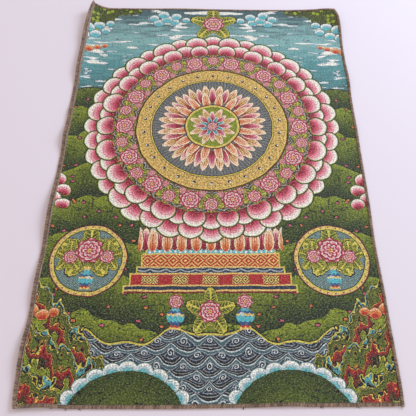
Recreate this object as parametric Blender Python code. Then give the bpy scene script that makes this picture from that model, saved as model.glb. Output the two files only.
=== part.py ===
"""A woven picture panel with oversewn edges, lying on a table top.

Five pieces: the woven panel and one band of oversewing thread along each of its four sides.
All of them follow one surface, which is flat in the middle, rises in low swells along the
left side and curls up at the two far corners. Metres, +Z up, +X to the right, +Y to the
top of the picture. The origin is on the table, under the middle of the cloth's box.
"""
from collections import namedtuple
from math import cos, pi, radians, sin

import bmesh
import bpy
from mathutils import Vector

# ---- driving sizes -------------------------------------------------------------------
CLOTH_WIDTH = 0.5965         # left side to right side, over the oversewn edges
CLOTH_LENGTH = 0.899         # bottom side to top side, over the oversewn edges
SIDE_SLOPE = 0.0233          # the cloth is cut a little askew: rise of the ends across the width
CLOTH_THICKNESS = 0.0010     # the woven panel
EDGING_WIDTH = 0.0055        # how far the oversewing reaches in from the side
EDGING_WALL = 0.0005         # thickness of the thread over and under the cloth
CLEARANCE = 0.0003           # between any two pieces
EDGING_NOSE = 0.0008         # rounding of the edging's outer side

# ---- the form in which the cloth lies ------------------------------------------------
SWELL_REACH = 0.045          # how far in from a side its swells run out
SETTLE_REACH = 0.015         # how far in from the edging the panel settles on the table
PULL_REACH = 0.090           # how far in from a side the pull of a corner runs out

# A swell is one soft rise along a side. middle is its place along that side, measured from
# the side's middle, half_length is half of its run, lift is its height at the side, and
# draw_in is how far the side is drawn in there (or let out, where it is below zero).
Swell = namedtuple("Swell", "middle half_length lift draw_in")
LEFT_SWELLS = (
    Swell(0.352, 0.090, 0.0085, -0.0008),
    Swell(0.262, 0.075, 0.0080, -0.0006),
    Swell(0.122, 0.040, 0.0030, 0.0000),
    Swell(0.064, 0.050, 0.0080, 0.0000),
    Swell(-0.108, 0.095, 0.0090, -0.0010),
    Swell(-0.250, 0.070, 0.0060, -0.0004),
    Swell(-0.366, 0.070, 0.0075, -0.0014),
    Swell(-0.445, 0.050, 0.0035, 0.0000),
)
RIGHT_SWELLS = (
    Swell(0.390, 0.080, 0.0045, -0.0010),
    Swell(0.224, 0.060, 0.0040, -0.0008),
    Swell(0.082, 0.060, 0.0020, 0.0000),
    Swell(-0.180, 0.100, 0.0000, 0.0022),
    Swell(-0.410, 0.110, 0.0010, -0.0010),
)
TOP_SWELLS = (
    Swell(-0.080, 0.080, 0.0010, 0.0000),
    Swell(0.080, 0.130, 0.0000, 0.0010),
)
BOTTOM_SWELLS = (
    Swell(-0.256, 0.050, 0.0030, 0.0022),
    Swell(-0.060, 0.150, 0.0000, -0.0010),
    Swell(0.119, 0.050, 0.0012, 0.0010),
)

# A corner is pulled in by its oversewing (pull_x, pull_y, run out over pull_length along the
# sides) and, where curl_radius isn't zero, curls up along heading, starting curl_onset
# before the corner.
Corner = namedtuple("Corner", "side_x side_y pull_x pull_y pull_length heading curl_onset curl_radius")
CORNERS = (
    Corner(-1, 1, 0.0040, 0.0000, 0.030, radians(156), 0.052, 0.046),
    Corner(1, 1, 0.0070, 0.0055, 0.036, radians(45), 0.092, 0.390),
    Corner(-1, -1, 0.0042, 0.0006, 0.035, 0.0, 0.0, 0.0),
    Corner(1, -1, 0.0008, 0.0010, 0.025, 0.0, 0.0, 0.0),
)

# ---- mesh spacing --------------------------------------------------------------------
FIRST_STEP = 0.0045          # next to the edging
STEP_GROWTH = 1.18           # each step inwards is this much longer than the last
WIDEST_STEP = 0.0135
NORMAL_STEP = 0.0005         # for the slope of the surface
FLAT_ANGLE = radians(0.02)   # neighbouring faces closer than this are one face
SHARP_ANGLE = radians(35)    # edges above this are shaded as corners

# ---- colours (linear) and roughness ----------------------------------------------------
CLOTH_COLOUR = (0.26, 0.25, 0.13)
CLOTH_ROUGHNESS = 0.75
THREAD_COLOUR = (0.17, 0.12, 0.085)
THREAD_ROUGHNESS = 0.85

HALF_WIDTH = CLOTH_WIDTH / 2
HALF_LENGTH = CLOTH_LENGTH / 2
EDGING_HEIGHT = CLOTH_THICKNESS + 2 * (EDGING_WALL + CLEARANCE)


# ---- the surface that every piece follows ----------------------------------------------
def swell_shape(place, swell):
    """1 at the middle of a swell, 0 at its ends."""
    t = (place - swell.middle) / swell.half_length
    return cos(0.5 * pi * t) ** 2 if abs(t) < 1 else 0.0


def fade(distance, reach):
    """1 at a side of the cloth, 0 from reach inwards."""
    return (1 - max(distance, 0.0) / reach) ** 2 if distance < reach else 0.0


def curl_up(point, corner):
    """Roll what lies beyond a corner's onset line up round a level cylinder."""
    tip_x = corner.side_x * HALF_WIDTH
    tip = Vector((tip_x, corner.side_y * HALF_LENGTH + SIDE_SLOPE * tip_x, 0))
    along = Vector((cos(corner.heading), sin(corner.heading), 0))
    run = (point - tip).dot(along) + corner.curl_onset
    if run <= 0:
        return point
    angle = run / corner.curl_radius
    rise = corner.curl_radius * (1 - cos(angle))
    return point + along * (corner.curl_radius * sin(angle) - run) + Vector((0, 0, rise))


def surface(u, v):
    """Where the flat cloth's place (u, v) comes to lie; z is the lift above the table."""
    point = Vector((u, v + SIDE_SLOPE * u, 0))
    sides = (
        (LEFT_SWELLS, HALF_WIDTH + u, v, Vector((1, 0, 0))),
        (RIGHT_SWELLS, HALF_WIDTH - u, v, Vector((-1, 0, 0))),
        (TOP_SWELLS, HALF_LENGTH - v, u, Vector((0, -1, 0))),
        (BOTTOM_SWELLS, HALF_LENGTH + v, u, Vector((0, 1, 0))),
    )
    for swells, distance, place, inwards in sides:
        if distance >= SWELL_REACH:
            continue
        for swell in swells:
            amount = fade(distance, SWELL_REACH) * swell_shape(place, swell)
            point += inwards * swell.draw_in * amount + Vector((0, 0, swell.lift * amount))
    for corner in CORNERS:
        from_side = HALF_WIDTH - corner.side_x * u
        from_end = HALF_LENGTH - corner.side_y * v
        across = fade(from_side, PULL_REACH) * fade(from_end, corner.pull_length)
        lengthwise = fade(from_end, PULL_REACH) * fade(from_side, corner.pull_length)
        point -= Vector((corner.side_x * corner.pull_x * across,
                         corner.side_y * corner.pull_y * lengthwise, 0))
    for corner in CORNERS:
        if corner.curl_radius:
            point = curl_up(point, corner)
    return point


def surface_normal(u, v):
    """Upward unit normal of the surface, from two short steps across it."""
    step_u = surface(u + NORMAL_STEP, v) - surface(u - NORMAL_STEP, v)
    step_v = surface(u, v + NORMAL_STEP) - surface(u, v - NORMAL_STEP)
    return step_u.cross(step_v).normalized()


def box_middle():
    """Middle of the cloth's outline, seen from above."""
    outline = []
    for v in stations(CLOTH_LENGTH):
        outline += [surface(-HALF_WIDTH, v), surface(HALF_WIDTH, v)]
    for u in stations(CLOTH_WIDTH):
        outline += [surface(u, -HALF_LENGTH), surface(u, HALF_LENGTH)]
    xs = [point.x for point in outline]
    ys = [point.y for point in outline]
    return Vector(((min(xs) + max(xs)) / 2, (min(ys) + max(ys)) / 2, 0))


def laid(u, v, height):
    """World place of the point that is height above the surface at (u, v)."""
    return surface(u, v) + surface_normal(u, v) * height - BOX_MIDDLE


def stations(length):
    """Places across a side's whole length: its ends, the edging's width, then wider steps."""
    half = length / 2
    inwards = [0.0, EDGING_WIDTH]
    step = FIRST_STEP
    while step < WIDEST_STEP:
        inwards.append(inwards[-1] + step)
        step *= STEP_GROWTH
    left = half - inwards[-1]
    count = int(2 * left / WIDEST_STEP) + 1
    middle = [-left + 2 * left * i / count for i in range(1, count)]
    return [d - half for d in inwards] + middle + [half - d for d in reversed(inwards)]


BOX_MIDDLE = box_middle()


# ---- helpers -----------------------------------------------------------------------------
def plain_material(name, colour, roughness):
    """A Principled material of one colour."""
    material = bpy.data.materials.new(name)
    material.use_nodes = True
    shader = material.node_tree.nodes["Principled BSDF"]
    shader.inputs["Base Color"].default_value = (*colour, 1.0)
    shader.inputs["Roughness"].default_value = roughness
    return material


def add_piece(name, mesh_data, place, material, parent):
    """Link a bmesh as an object whose origin is at place."""
    bmesh.ops.recalc_face_normals(mesh_data, faces=mesh_data.faces)
    for vertex in mesh_data.verts:
        vertex.co -= place
    mesh = bpy.data.meshes.new(name)
    mesh_data.to_mesh(mesh)
    mesh_data.free()
    mesh.materials.append(material)
    mesh.shade_smooth()
    mesh.set_sharp_from_angle(angle=SHARP_ANGLE)
    piece = bpy.data.objects.new(name, mesh)
    piece.location = place
    piece.parent = parent
    bpy.context.collection.objects.link(piece)
    return piece


# ---- the pieces -----------------------------------------------------------------------------
def make_panel(parent):
    """The woven cloth: flat on the table in the middle, inside the edging at its sides."""
    inset = EDGING_WALL + CLEARANCE * 3           # cloth edge, clear of the edging's nose
    border_height = EDGING_WALL + CLEARANCE       # the cloth's underside inside the edging

    def grid_lines(length):
        lines = stations(length)
        lines[0] += inset
        lines[-1] -= inset
        return lines

    def underside(u, v):
        border = min(HALF_WIDTH - abs(u), HALF_LENGTH - abs(v)) - EDGING_WIDTH
        return border_height * fade(border, SETTLE_REACH)

    columns = grid_lines(CLOTH_WIDTH)
    rows = grid_lines(CLOTH_LENGTH)
    cloth = bmesh.new()
    sheets = []
    for thickness in (0.0, CLOTH_THICKNESS):
        sheets.append([[cloth.verts.new(laid(u, v, underside(u, v) + thickness)) for u in columns]
                       for v in rows])
    for sheet in sheets:
        for near, far in zip(sheet, sheet[1:]):
            for i in range(len(columns) - 1):
                cloth.faces.new((near[i], near[i + 1], far[i + 1], far[i]))
    lower, upper = sheets
    rims = [
        (lower[0], upper[0]),
        (lower[-1], upper[-1]),
        ([row[0] for row in lower], [row[0] for row in upper]),
        ([row[-1] for row in lower], [row[-1] for row in upper]),
    ]
    for low, high in rims:
        for i in range(len(low) - 1):
            cloth.faces.new((low[i], low[i + 1], high[i + 1], high[i]))
    bmesh.ops.dissolve_limit(cloth, angle_limit=FLAT_ANGLE, verts=cloth.verts, edges=cloth.edges)
    colour = plain_material("woven_cloth", CLOTH_COLOUR, CLOTH_ROUGHNESS)
    return add_piece("woven_panel", cloth, Vector((0, 0, 0)), colour, parent)


def edging_profile():
    """Section of an edging as (distance in from the side, height): a flat letter C."""
    slot_floor = EDGING_WALL
    slot_ceiling = EDGING_HEIGHT - EDGING_WALL
    slot_end = EDGING_WALL + 2 * CLEARANCE
    return (
        (EDGING_WIDTH, 0.0), (EDGING_NOSE, 0.0), (0.0, EDGING_NOSE),
        (0.0, EDGING_HEIGHT - EDGING_NOSE), (EDGING_NOSE, EDGING_HEIGHT),
        (EDGING_WIDTH, EDGING_HEIGHT), (EDGING_WIDTH, slot_ceiling),
        (slot_end, slot_ceiling), (slot_end, slot_floor), (EDGING_WIDTH, slot_floor),
    )


def make_edging(name, place_of, lines, colour, parent):
    """Sweep the edging's section along one side.

    place_of turns (place along the side, distance in from it) into the cloth's (u, v).
    """
    band = bmesh.new()
    sections = []
    for place in lines:
        section = []
        for distance, height in edging_profile():
            section.append(band.verts.new(laid(*place_of(place, distance), height)))
        sections.append(section)
    size = len(sections[0])
    for this, following in zip(sections, sections[1:]):
        for i in range(size):
            j = (i + 1) % size
            band.faces.new((this[i], this[j], following[j], following[i]))
    band.faces.new(sections[0])
    band.faces.new(sections[-1])
    bmesh.ops.dissolve_limit(band, angle_limit=FLAT_ANGLE, verts=band.verts, edges=band.edges)
    middle = laid(*place_of(0.0, 0.0), 0.0)
    return add_piece(name, band, middle, colour, parent)


def make_edgings(parent):
    """The side bands run the full length; the end bands fit between them."""
    thread = plain_material("edging_thread", THREAD_COLOUR, THREAD_ROUGHNESS)
    full_length = stations(CLOTH_LENGTH)
    between = stations(CLOTH_WIDTH)[1:-1]
    between[0] += CLEARANCE
    between[-1] -= CLEARANCE
    sides = (
        ("edging_left", full_length, lambda place, distance: (-HALF_WIDTH + distance, place)),
        ("edging_right", full_length, lambda place, distance: (HALF_WIDTH - distance, place)),
        ("edging_bottom", between, lambda place, distance: (place, -HALF_LENGTH + distance)),
        ("edging_top", between, lambda place, distance: (place, HALF_LENGTH - distance)),
    )
    for name, lines, place_of in sides:
        make_edging(name, place_of, lines, thread, parent)


def main():
    for old in list(bpy.data.objects):
        bpy.data.objects.remove(old, do_unlink=True)
    laid_cloth = bpy.data.objects.new("laid_cloth", None)
    bpy.context.collection.objects.link(laid_cloth)
    make_panel(laid_cloth)
    make_edgings(laid_cloth)


main()
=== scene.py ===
# %% [markdown]
# A woven picture panel, lying face up on a table.
#
# The real thing is one piece of figured brocade, about 600 by 900 mm. A loom with a
# separate lift for every warp thread weaves its picture, so the picture is the cloth and
# not something sewn or printed on it. The raw edges are oversewn in taupe thread, and the
# panel has been laid flat: its middle touches the table, its left side rises in low
# swells, and its two far corners curl up.
#
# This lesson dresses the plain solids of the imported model. It makes the cloth first, then
# the stitches round its edges, then the picture as a tree of shader nodes, and last the
# table and the light.

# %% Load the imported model
from collections import namedtuple
from math import cos, pi, radians, sin
from random import Random

import bmesh
import bpy
from mathutils import Matrix, Vector


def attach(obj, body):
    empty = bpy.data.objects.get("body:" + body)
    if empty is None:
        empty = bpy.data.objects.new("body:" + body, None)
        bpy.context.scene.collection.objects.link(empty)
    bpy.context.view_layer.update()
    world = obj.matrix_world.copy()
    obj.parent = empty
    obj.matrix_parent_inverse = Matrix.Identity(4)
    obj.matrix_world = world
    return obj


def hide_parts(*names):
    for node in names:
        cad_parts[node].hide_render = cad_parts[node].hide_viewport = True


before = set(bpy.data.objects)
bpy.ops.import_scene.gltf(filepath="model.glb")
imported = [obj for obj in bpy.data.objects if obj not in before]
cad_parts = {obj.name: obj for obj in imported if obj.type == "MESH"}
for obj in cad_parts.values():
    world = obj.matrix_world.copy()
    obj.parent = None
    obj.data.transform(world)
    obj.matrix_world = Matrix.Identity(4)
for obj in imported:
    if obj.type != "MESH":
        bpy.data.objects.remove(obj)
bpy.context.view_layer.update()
MM = 0.001
print("nodes:", ", ".join(sorted(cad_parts)))

# %% [markdown]
# The form in which the cloth lies.
#
# A sheet of cloth bends easily and hardly stretches, so its form is given as a rule that
# takes a place on the flat cloth to a place in the room. The flat cloth has two
# coordinates: u across it and v along it, both from its middle. Three things move it off
# the table: swells along a side, the pull of the oversewing at a corner, and the curl of
# a corner, which is the cloth rolled up a little round a level cylinder.
#
# The sizes are the ones that the solids were made from, so what is laid on this surface
# lies where they are.

# %% The cloth's sizes
CLOTH_WIDTH = 0.5965
CLOTH_LENGTH = 0.899
SIDE_SLOPE = 0.0233          # the ends rise this much across the width: the cut is askew
CLOTH_THICKNESS = 0.0010
EDGING_WIDTH = 0.0055        # how far the oversewing reaches in from a side
EDGING_HEIGHT = 0.0026       # from the table to the top of the oversewing
EDGING_WALL = 0.0005         # thread over and under the cloth
CLEARANCE = 0.0003           # between any two pieces
SWELL_REACH = 0.045          # how far in from a side its swells run out
SETTLE_REACH = 0.015         # how far in from the oversewing the cloth settles down
PULL_REACH = 0.090           # how far in from a side the pull of a corner runs out
NORMAL_STEP = 0.0005         # length of the steps that a surface normal is found from
HALF_WIDTH = CLOTH_WIDTH / 2
HALF_LENGTH = CLOTH_LENGTH / 2
print("flat cloth, mm:", CLOTH_WIDTH / MM, "by", CLOTH_LENGTH / MM)

# %% Swells along the sides and curls at the corners
# A swell's middle is its place along the side, from the side's middle. A corner's heading
# is the way in which it curls, and its onset is how far from the tip the curl starts.
Swell = namedtuple("Swell", "middle half_length lift draw_in")
LEFT_SWELLS = (
    Swell(0.352, 0.090, 0.0085, -0.0008),
    Swell(0.262, 0.075, 0.0080, -0.0006),
    Swell(0.122, 0.040, 0.0030, 0.0000),
    Swell(0.064, 0.050, 0.0080, 0.0000),
    Swell(-0.108, 0.095, 0.0090, -0.0010),
    Swell(-0.250, 0.070, 0.0060, -0.0004),
    Swell(-0.366, 0.070, 0.0075, -0.0014),
    Swell(-0.445, 0.050, 0.0035, 0.0000),
)
RIGHT_SWELLS = (
    Swell(0.390, 0.080, 0.0045, -0.0010),
    Swell(0.224, 0.060, 0.0040, -0.0008),
    Swell(0.082, 0.060, 0.0020, 0.0000),
    Swell(-0.180, 0.100, 0.0000, 0.0022),
    Swell(-0.410, 0.110, 0.0010, -0.0010),
)
TOP_SWELLS = (
    Swell(-0.080, 0.080, 0.0010, 0.0000),
    Swell(0.080, 0.130, 0.0000, 0.0010),
)
BOTTOM_SWELLS = (
    Swell(-0.256, 0.050, 0.0030, 0.0022),
    Swell(-0.060, 0.150, 0.0000, -0.0010),
    Swell(0.119, 0.050, 0.0012, 0.0010),
)
Corner = namedtuple("Corner", "side_x side_y pull_x pull_y pull_length "
                              "heading curl_onset curl_radius")
CORNERS = (
    Corner(-1, 1, 0.0040, 0.0000, 0.030, radians(156), 0.052, 0.046),
    Corner(1, 1, 0.0070, 0.0055, 0.036, radians(45), 0.092, 0.390),
    Corner(-1, -1, 0.0042, 0.0006, 0.035, 0.0, 0.0, 0.0),
    Corner(1, -1, 0.0008, 0.0010, 0.025, 0.0, 0.0, 0.0),
)
print("swells:", sum(map(len, (LEFT_SWELLS, RIGHT_SWELLS, TOP_SWELLS, BOTTOM_SWELLS))),
      "curled corners:", sum(corner.curl_radius > 0 for corner in CORNERS))


# %% The rule that lays the cloth
def swell_shape(place, swell):
    """1 at the middle of a swell, 0 at its ends."""
    t = (place - swell.middle) / swell.half_length
    return cos(0.5 * pi * t) ** 2 if abs(t) < 1 else 0.0


def fade(distance, reach):
    """1 at a side of the cloth, 0 from reach inwards."""
    return (1 - max(distance, 0.0) / reach) ** 2 if distance < reach else 0.0


def curl_up(point, corner):
    """Roll what lies beyond a corner's onset line up round a level cylinder."""
    tip_x = corner.side_x * HALF_WIDTH
    tip = Vector((tip_x, corner.side_y * HALF_LENGTH + SIDE_SLOPE * tip_x, 0))
    along = Vector((cos(corner.heading), sin(corner.heading), 0))
    run = (point - tip).dot(along) + corner.curl_onset
    if run <= 0:
        return point
    angle = run / corner.curl_radius
    rise = corner.curl_radius * (1 - cos(angle))
    return point + along * (corner.curl_radius * sin(angle) - run) + Vector((0, 0, rise))


def surface(u, v):
    """Where the flat cloth's place (u, v) comes to lie; z is the lift above the table."""
    point = Vector((u, v + SIDE_SLOPE * u, 0))
    sides = (
        (LEFT_SWELLS, HALF_WIDTH + u, v, Vector((1, 0, 0))),
        (RIGHT_SWELLS, HALF_WIDTH - u, v, Vector((-1, 0, 0))),
        (TOP_SWELLS, HALF_LENGTH - v, u, Vector((0, -1, 0))),
        (BOTTOM_SWELLS, HALF_LENGTH + v, u, Vector((0, 1, 0))),
    )
    for swells, distance, place, inwards in sides:
        if distance >= SWELL_REACH:
            continue
        for swell in swells:
            amount = fade(distance, SWELL_REACH) * swell_shape(place, swell)
            point += inwards * swell.draw_in * amount + Vector((0, 0, swell.lift * amount))
    for corner in CORNERS:
        from_side = HALF_WIDTH - corner.side_x * u
        from_end = HALF_LENGTH - corner.side_y * v
        across = fade(from_side, PULL_REACH) * fade(from_end, corner.pull_length)
        lengthwise = fade(from_end, PULL_REACH) * fade(from_side, corner.pull_length)
        point -= Vector((corner.side_x * corner.pull_x * across,
                         corner.side_y * corner.pull_y * lengthwise, 0))
    for corner in CORNERS:
        if corner.curl_radius:
            point = curl_up(point, corner)
    return point


print("the left side's highest swell, mm:",
      round(max(surface(-HALF_WIDTH, swell.middle).z for swell in LEFT_SWELLS) / MM, 1))

# %% [markdown]
# The solids' origin is on the table under the middle of the cloth's box, so the surface is
# shifted by that middle. It is found here from the outline, as it was for the solids.

# %% Place the surface over the solids
OUTLINE_STEPS = 200


def outline_places():
    """Places round the flat cloth's edge."""
    for i in range(OUTLINE_STEPS + 1):
        share = 2 * i / OUTLINE_STEPS - 1
        yield from ((-HALF_WIDTH, share * HALF_LENGTH), (HALF_WIDTH, share * HALF_LENGTH))
        yield from ((share * HALF_WIDTH, -HALF_LENGTH), (share * HALF_WIDTH, HALF_LENGTH))


outline = [surface(u, v) for u, v in outline_places()]
BOX_MIDDLE = Vector([(min(p[axis] for p in outline) + max(p[axis] for p in outline)) / 2
                     for axis in (0, 1)] + [0])


def surface_normal(u, v):
    """Upward unit normal of the surface, from two short steps across it."""
    step_u = surface(u + NORMAL_STEP, v) - surface(u - NORMAL_STEP, v)
    step_v = surface(u, v + NORMAL_STEP) - surface(u, v - NORMAL_STEP)
    return step_u.cross(step_v).normalized()


def laid(u, v, height):
    """World place of the point that is height above the surface at (u, v)."""
    return surface(u, v) + surface_normal(u, v) * height - BOX_MIDDLE


print("middle of the cloth's box, mm:", [round(x / MM, 2) for x in BOX_MIDDLE])

# %% [markdown]
# The cloth's mesh.
#
# The woven panel is a closed sheet 1 mm thick: an upper grid, a lower grid and a rim. Its
# grid lines are close together near the sides, where the cloth swells and puckers, and
# wider apart in the flat middle. Oversewing draws the cloth in a little, stitch by stitch,
# which leaves small puckers beside it; they are too fine for the solids and are made here.
#
# Each corner of a face also keeps its place on the flat cloth in a UV map called
# flat_cloth, in metres. The picture is drawn on those places, so it bends with the cloth.

# %% Grid lines and puckers
FINE_STEP = 0.0030
FINE_REACH = 0.060
WIDE_STEP = 0.0065
CLOTH_INSET = EDGING_WALL + 3 * CLEARANCE   # from the outline to the cloth's own edge
PUCKER_HEIGHT = 0.00035
PUCKER_REACH = 0.017
PUCKER_CREST = 0.004         # how far in from the oversewing the puckers are highest
PUCKER_WAVES = ((0.55, 390), (0.45, 241))   # share of each wave, and radians to the metre


def grid_lines(length):
    """Places across a side: the cloth's edges, fine steps beside them, wide steps between."""
    half = length / 2
    fine = int(FINE_REACH / FINE_STEP)
    near_side = [CLOTH_INSET] + [EDGING_WIDTH + FINE_STEP * i for i in range(fine + 1)]
    left = half - near_side[-1]
    count = int(2 * left / WIDE_STEP) + 1
    middle = [-left + 2 * left * i / count for i in range(1, count)]
    return [d - half for d in near_side] + middle + [half - d for d in reversed(near_side)]


def pucker(u, v):
    """Height of the small waves that the oversewing draws into the cloth beside it."""
    height = 0.0
    (share, pace), (less, slow) = PUCKER_WAVES
    for inwards, place, phase in ((HALF_WIDTH + u, v, 0.0), (HALF_WIDTH - u, v, 1.9),
                                  (HALF_LENGTH - v, u, 0.7), (HALF_LENGTH + v, u, 2.6)):
        inside = inwards - EDGING_WIDTH
        wave = share * sin(place * pace + phase) + less * sin(place * slow + 2 * phase + 1)
        if inside > 0:
            height += fade(abs(inside - PUCKER_CREST), PUCKER_REACH) * (0.5 + 0.5 * wave)
    return PUCKER_HEIGHT * height


def underside(u, v):
    """Height of the cloth's lower face: in the oversewing it lies on a layer of thread."""
    border = min(HALF_WIDTH - abs(u), HALF_LENGTH - abs(v)) - EDGING_WIDTH
    return (EDGING_WALL + CLEARANCE) * fade(border, SETTLE_REACH) + pucker(u, v)


print("grid lines across and along:", len(grid_lines(CLOTH_WIDTH)), len(grid_lines(CLOTH_LENGTH)))

# %% Make the woven panel
FLAT_MAP = "flat_cloth"
FACE, REVERSE = 0, 1         # the panel's two material slots


def keep_flat_places(mesh, places):
    """Write each vertex's place on the flat cloth to the UV map that the picture reads."""
    layer = mesh.uv_layers.new(name=FLAT_MAP)
    for loop in mesh.loops:
        layer.data[loop.index].uv = places[loop.vertex_index]


def make_panel():
    """The closed sheet: an upper grid, a lower grid and a rim between them."""
    columns, rows = grid_lines(CLOTH_WIDTH), grid_lines(CLOTH_LENGTH)
    across, along = len(columns), len(rows)
    places = [(u, v) for v in rows for u in columns]
    lower, upper = [], []
    for u, v in places:
        foot, normal = surface(u, v) - BOX_MIDDLE, surface_normal(u, v)
        height = underside(u, v)
        lower.append(foot + normal * height)
        upper.append(foot + normal * (height + CLOTH_THICKNESS))
    faces, slots = [], []
    for j in range(along - 1):
        for i in range(across - 1):
            a = j * across + i
            quad = (a, a + 1, a + across + 1, a + across)
            faces += [tuple(reversed(quad)), tuple(k + len(places) for k in quad)]
            slots += [REVERSE, FACE]
    ring = list(range(across))
    ring += [j * across + across - 1 for j in range(1, along)]
    ring += [(along - 1) * across + i for i in range(across - 2, -1, -1)]
    ring += [j * across for j in range(along - 2, 0, -1)]
    for a, b in zip(ring, ring[1:] + ring[:1]):
        faces.append((a, b, b + len(places), a + len(places)))
        slots.append(REVERSE)
    mesh = bpy.data.meshes.new("brocade_panel")
    mesh.from_pydata(lower + upper, [], faces)
    mesh.polygons.foreach_set("material_index", slots)
    mesh.shade_smooth()
    keep_flat_places(mesh, places + places)
    panel = bpy.data.objects.new("brocade_panel", mesh)
    bpy.context.collection.objects.link(panel)
    print(f"brocade_panel: {across} by {along} grid lines, {2 * len(faces):,} triangles")
    return panel


panel = make_panel()

# %% [markdown]
# A small language for shader nodes.
#
# Both the thread and the picture need trees of nodes, and the picture's is a big one. Two
# links and three settings for every sum would bury what is being drawn, so a Wire stands
# for a node's output socket and takes Python's arithmetic: adding two wires makes a Math
# node, and comparing them gives a mask that is 1 where it holds. `&` and `|` join masks.
#
# Anything that is used twice becomes a node group, with named sockets on both sides.

# %% Wires: arithmetic that builds nodes
class Wire:
    """An output socket of a node, with Python's arithmetic."""

    def __init__(self, socket):
        self.socket = socket


def arithmetic(operation, swapped=False):
    """A method that makes this kind of Math node from a wire and what it meets."""
    def method(*values):
        return node_of(operation, *(reversed(values) if swapped else values))
    return method


OPERATIONS = {
    "add": "ADD", "radd": "ADD", "sub": "SUBTRACT", "mul": "MULTIPLY",
    "truediv": "DIVIDE", "abs": "ABSOLUTE", "lt": "LESS_THAN", "gt": "GREATER_THAN",
    "and": "MINIMUM", "or": "MAXIMUM",
}
for sign, operation in OPERATIONS.items():
    setattr(Wire, f"__{sign}__", arithmetic(operation))
Wire.__rsub__ = arithmetic("SUBTRACT", swapped=True)
print("wires take", ", ".join(OPERATIONS))


# %% What a wire can be put through
def feed(socket, value):
    """Wire a socket, or set it where the value is a plain number or colour."""
    if isinstance(value, Wire):
        socket.id_data.links.new(value.socket, socket)
    else:
        socket.default_value = value


def node_of(operation, *values):
    """A Math node on wires and numbers."""
    tree = next(value.socket.id_data for value in values if isinstance(value, Wire))
    node = tree.nodes.new("ShaderNodeMath")
    node.operation = operation
    for socket, value in zip(node.inputs, values):
        feed(socket, value)
    return Wire(node.outputs[0])


def sine(value):
    return node_of("SINE", value)


def cosine(value):
    return node_of("COSINE", value)


def whole(value):
    """A number's whole part."""
    return node_of("FLOOR", value)


def part(value):
    """What is left of a number above its whole part."""
    return node_of("FRACT", value)


def length(x, y):
    """Distance of (x, y) from the middle."""
    return node_of("SQRT", x * x + y * y)


def polar(x, y):
    """Distance from the middle, and the angle clockwise from straight up."""
    return length(x, y), node_of("ARCTAN2", x, y)


def row(value, pitch):
    """A value measured from the nearest of evenly spaced marks."""
    return node_of("WRAP", value, pitch / 2, -pitch / 2)


def between(value, low, high):
    """A mask that is 1 from low to high."""
    return (value > low) & (value < high)


print("a full circle, as polar measures it:", round(2 * pi, 3))


# %% Colours
def linear(red, green, blue):
    """A colour as seen on a screen, 0 to 255, in the linear values that shaders take."""
    shares = [value / 255 for value in (red, green, blue)]
    return (*[s / 12.92 if s <= 0.04045 else ((s + 0.055) / 1.055) ** 2.4 for s in shares], 1.0)


DYES = {
    "white": (232, 230, 222), "cream": (236, 220, 190), "pink": (226, 160, 170),
    "rose": (200, 92, 116), "crimson": (152, 28, 56), "wine": (110, 22, 34),
    "red": (176, 48, 40), "orange": (206, 118, 62), "gold": (218, 186, 110),
    "straw": (206, 192, 84), "ochre": (176, 134, 72), "lime": (146, 160, 44),
    "olive": (104, 118, 38), "moss": (66, 82, 30), "forest": (30, 48, 34),
    "ink": (24, 26, 30), "sky": (128, 172, 174), "teal": (78, 140, 146),
    "slate": (66, 96, 104), "navy": (34, 50, 76), "turquoise": (84, 176, 190),
    "grey": (112, 114, 116), "smoke": (78, 80, 84), "stone": (160, 170, 176),
    "mist": (196, 208, 216), "blue": (52, 84, 128), "peach": (226, 178, 140),
    "haze": (128, 152, 148), "taupe": (140, 118, 108),
}
DYES = {name: linear(*colour) for name, colour in DYES.items()}
print("dyed threads:", len(DYES))


def mix(mask, under, over):
    """Lay one colour over another where the mask is 1."""
    node = mask.socket.id_data.nodes.new("ShaderNodeMix")
    node.data_type = "RGBA"
    feed(node.inputs[0], mask)
    for socket, colour in ((node.inputs[6], under), (node.inputs[7], over)):
        feed(socket, DYES[colour] if isinstance(colour, str) else colour)
    return Wire(node.outputs[2])


def bands(value, *stops, smooth=False):
    """Colour by value: each stop is (value where it starts, dye)."""
    low, high = stops[0][0], stops[-1][0]
    reach = (high - low) * (1.0 if smooth else 1.1)
    share = (value - low) * (1 / reach)
    ramp = share.socket.id_data.nodes.new("ShaderNodeValToRGB")
    feed(ramp.inputs[0], share)
    ramp.color_ramp.interpolation = "LINEAR" if smooth else "CONSTANT"
    marks = ramp.color_ramp.elements
    for i, (start, dye) in enumerate(stops):
        at = min((start - low) / reach, 1.0)
        mark = marks[i] if i < 2 else marks.new(at)
        mark.position = at
    for mark, (_, dye) in zip(marks, stops):
        mark.color = DYES[dye]
    return Wire(ramp.outputs[0])


print("white and ink, as shaders take them:", DYES["white"][:3], DYES["ink"][:3])

# %% Node groups and materials
THREAD_HEIGHT = 0.0001       # a tenth of a millimetre, for what is bumped


def new_group(name, given, made):
    """A node group with named sockets: returns it and its input wires."""
    tree = bpy.data.node_groups.new(name, "ShaderNodeTree")
    for direction, sockets in (("INPUT", given), ("OUTPUT", made)):
        for socket, kind in sockets.items():
            tree.interface.new_socket(socket, in_out=direction, socket_type="NodeSocket" + kind)
    entry = tree.nodes.new("NodeGroupInput")
    return tree, [Wire(socket) for socket in entry.outputs[:len(given)]]


def close_group(tree, *wires):
    """Wire the group's outputs, in the order in which they were named."""
    for socket, wire in zip(tree.nodes.new("NodeGroupOutput").inputs, wires):
        feed(socket, wire)
    return tree


def use_group(group, *values, tree=None):
    """Put a group into a tree, or into the one that the first value belongs to."""
    node = (tree or values[0].socket.id_data).nodes.new("ShaderNodeGroup")
    node.node_tree = group
    for socket, value in zip(node.inputs, values):
        feed(socket, value)
    return [Wire(socket) for socket in node.outputs]


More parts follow.
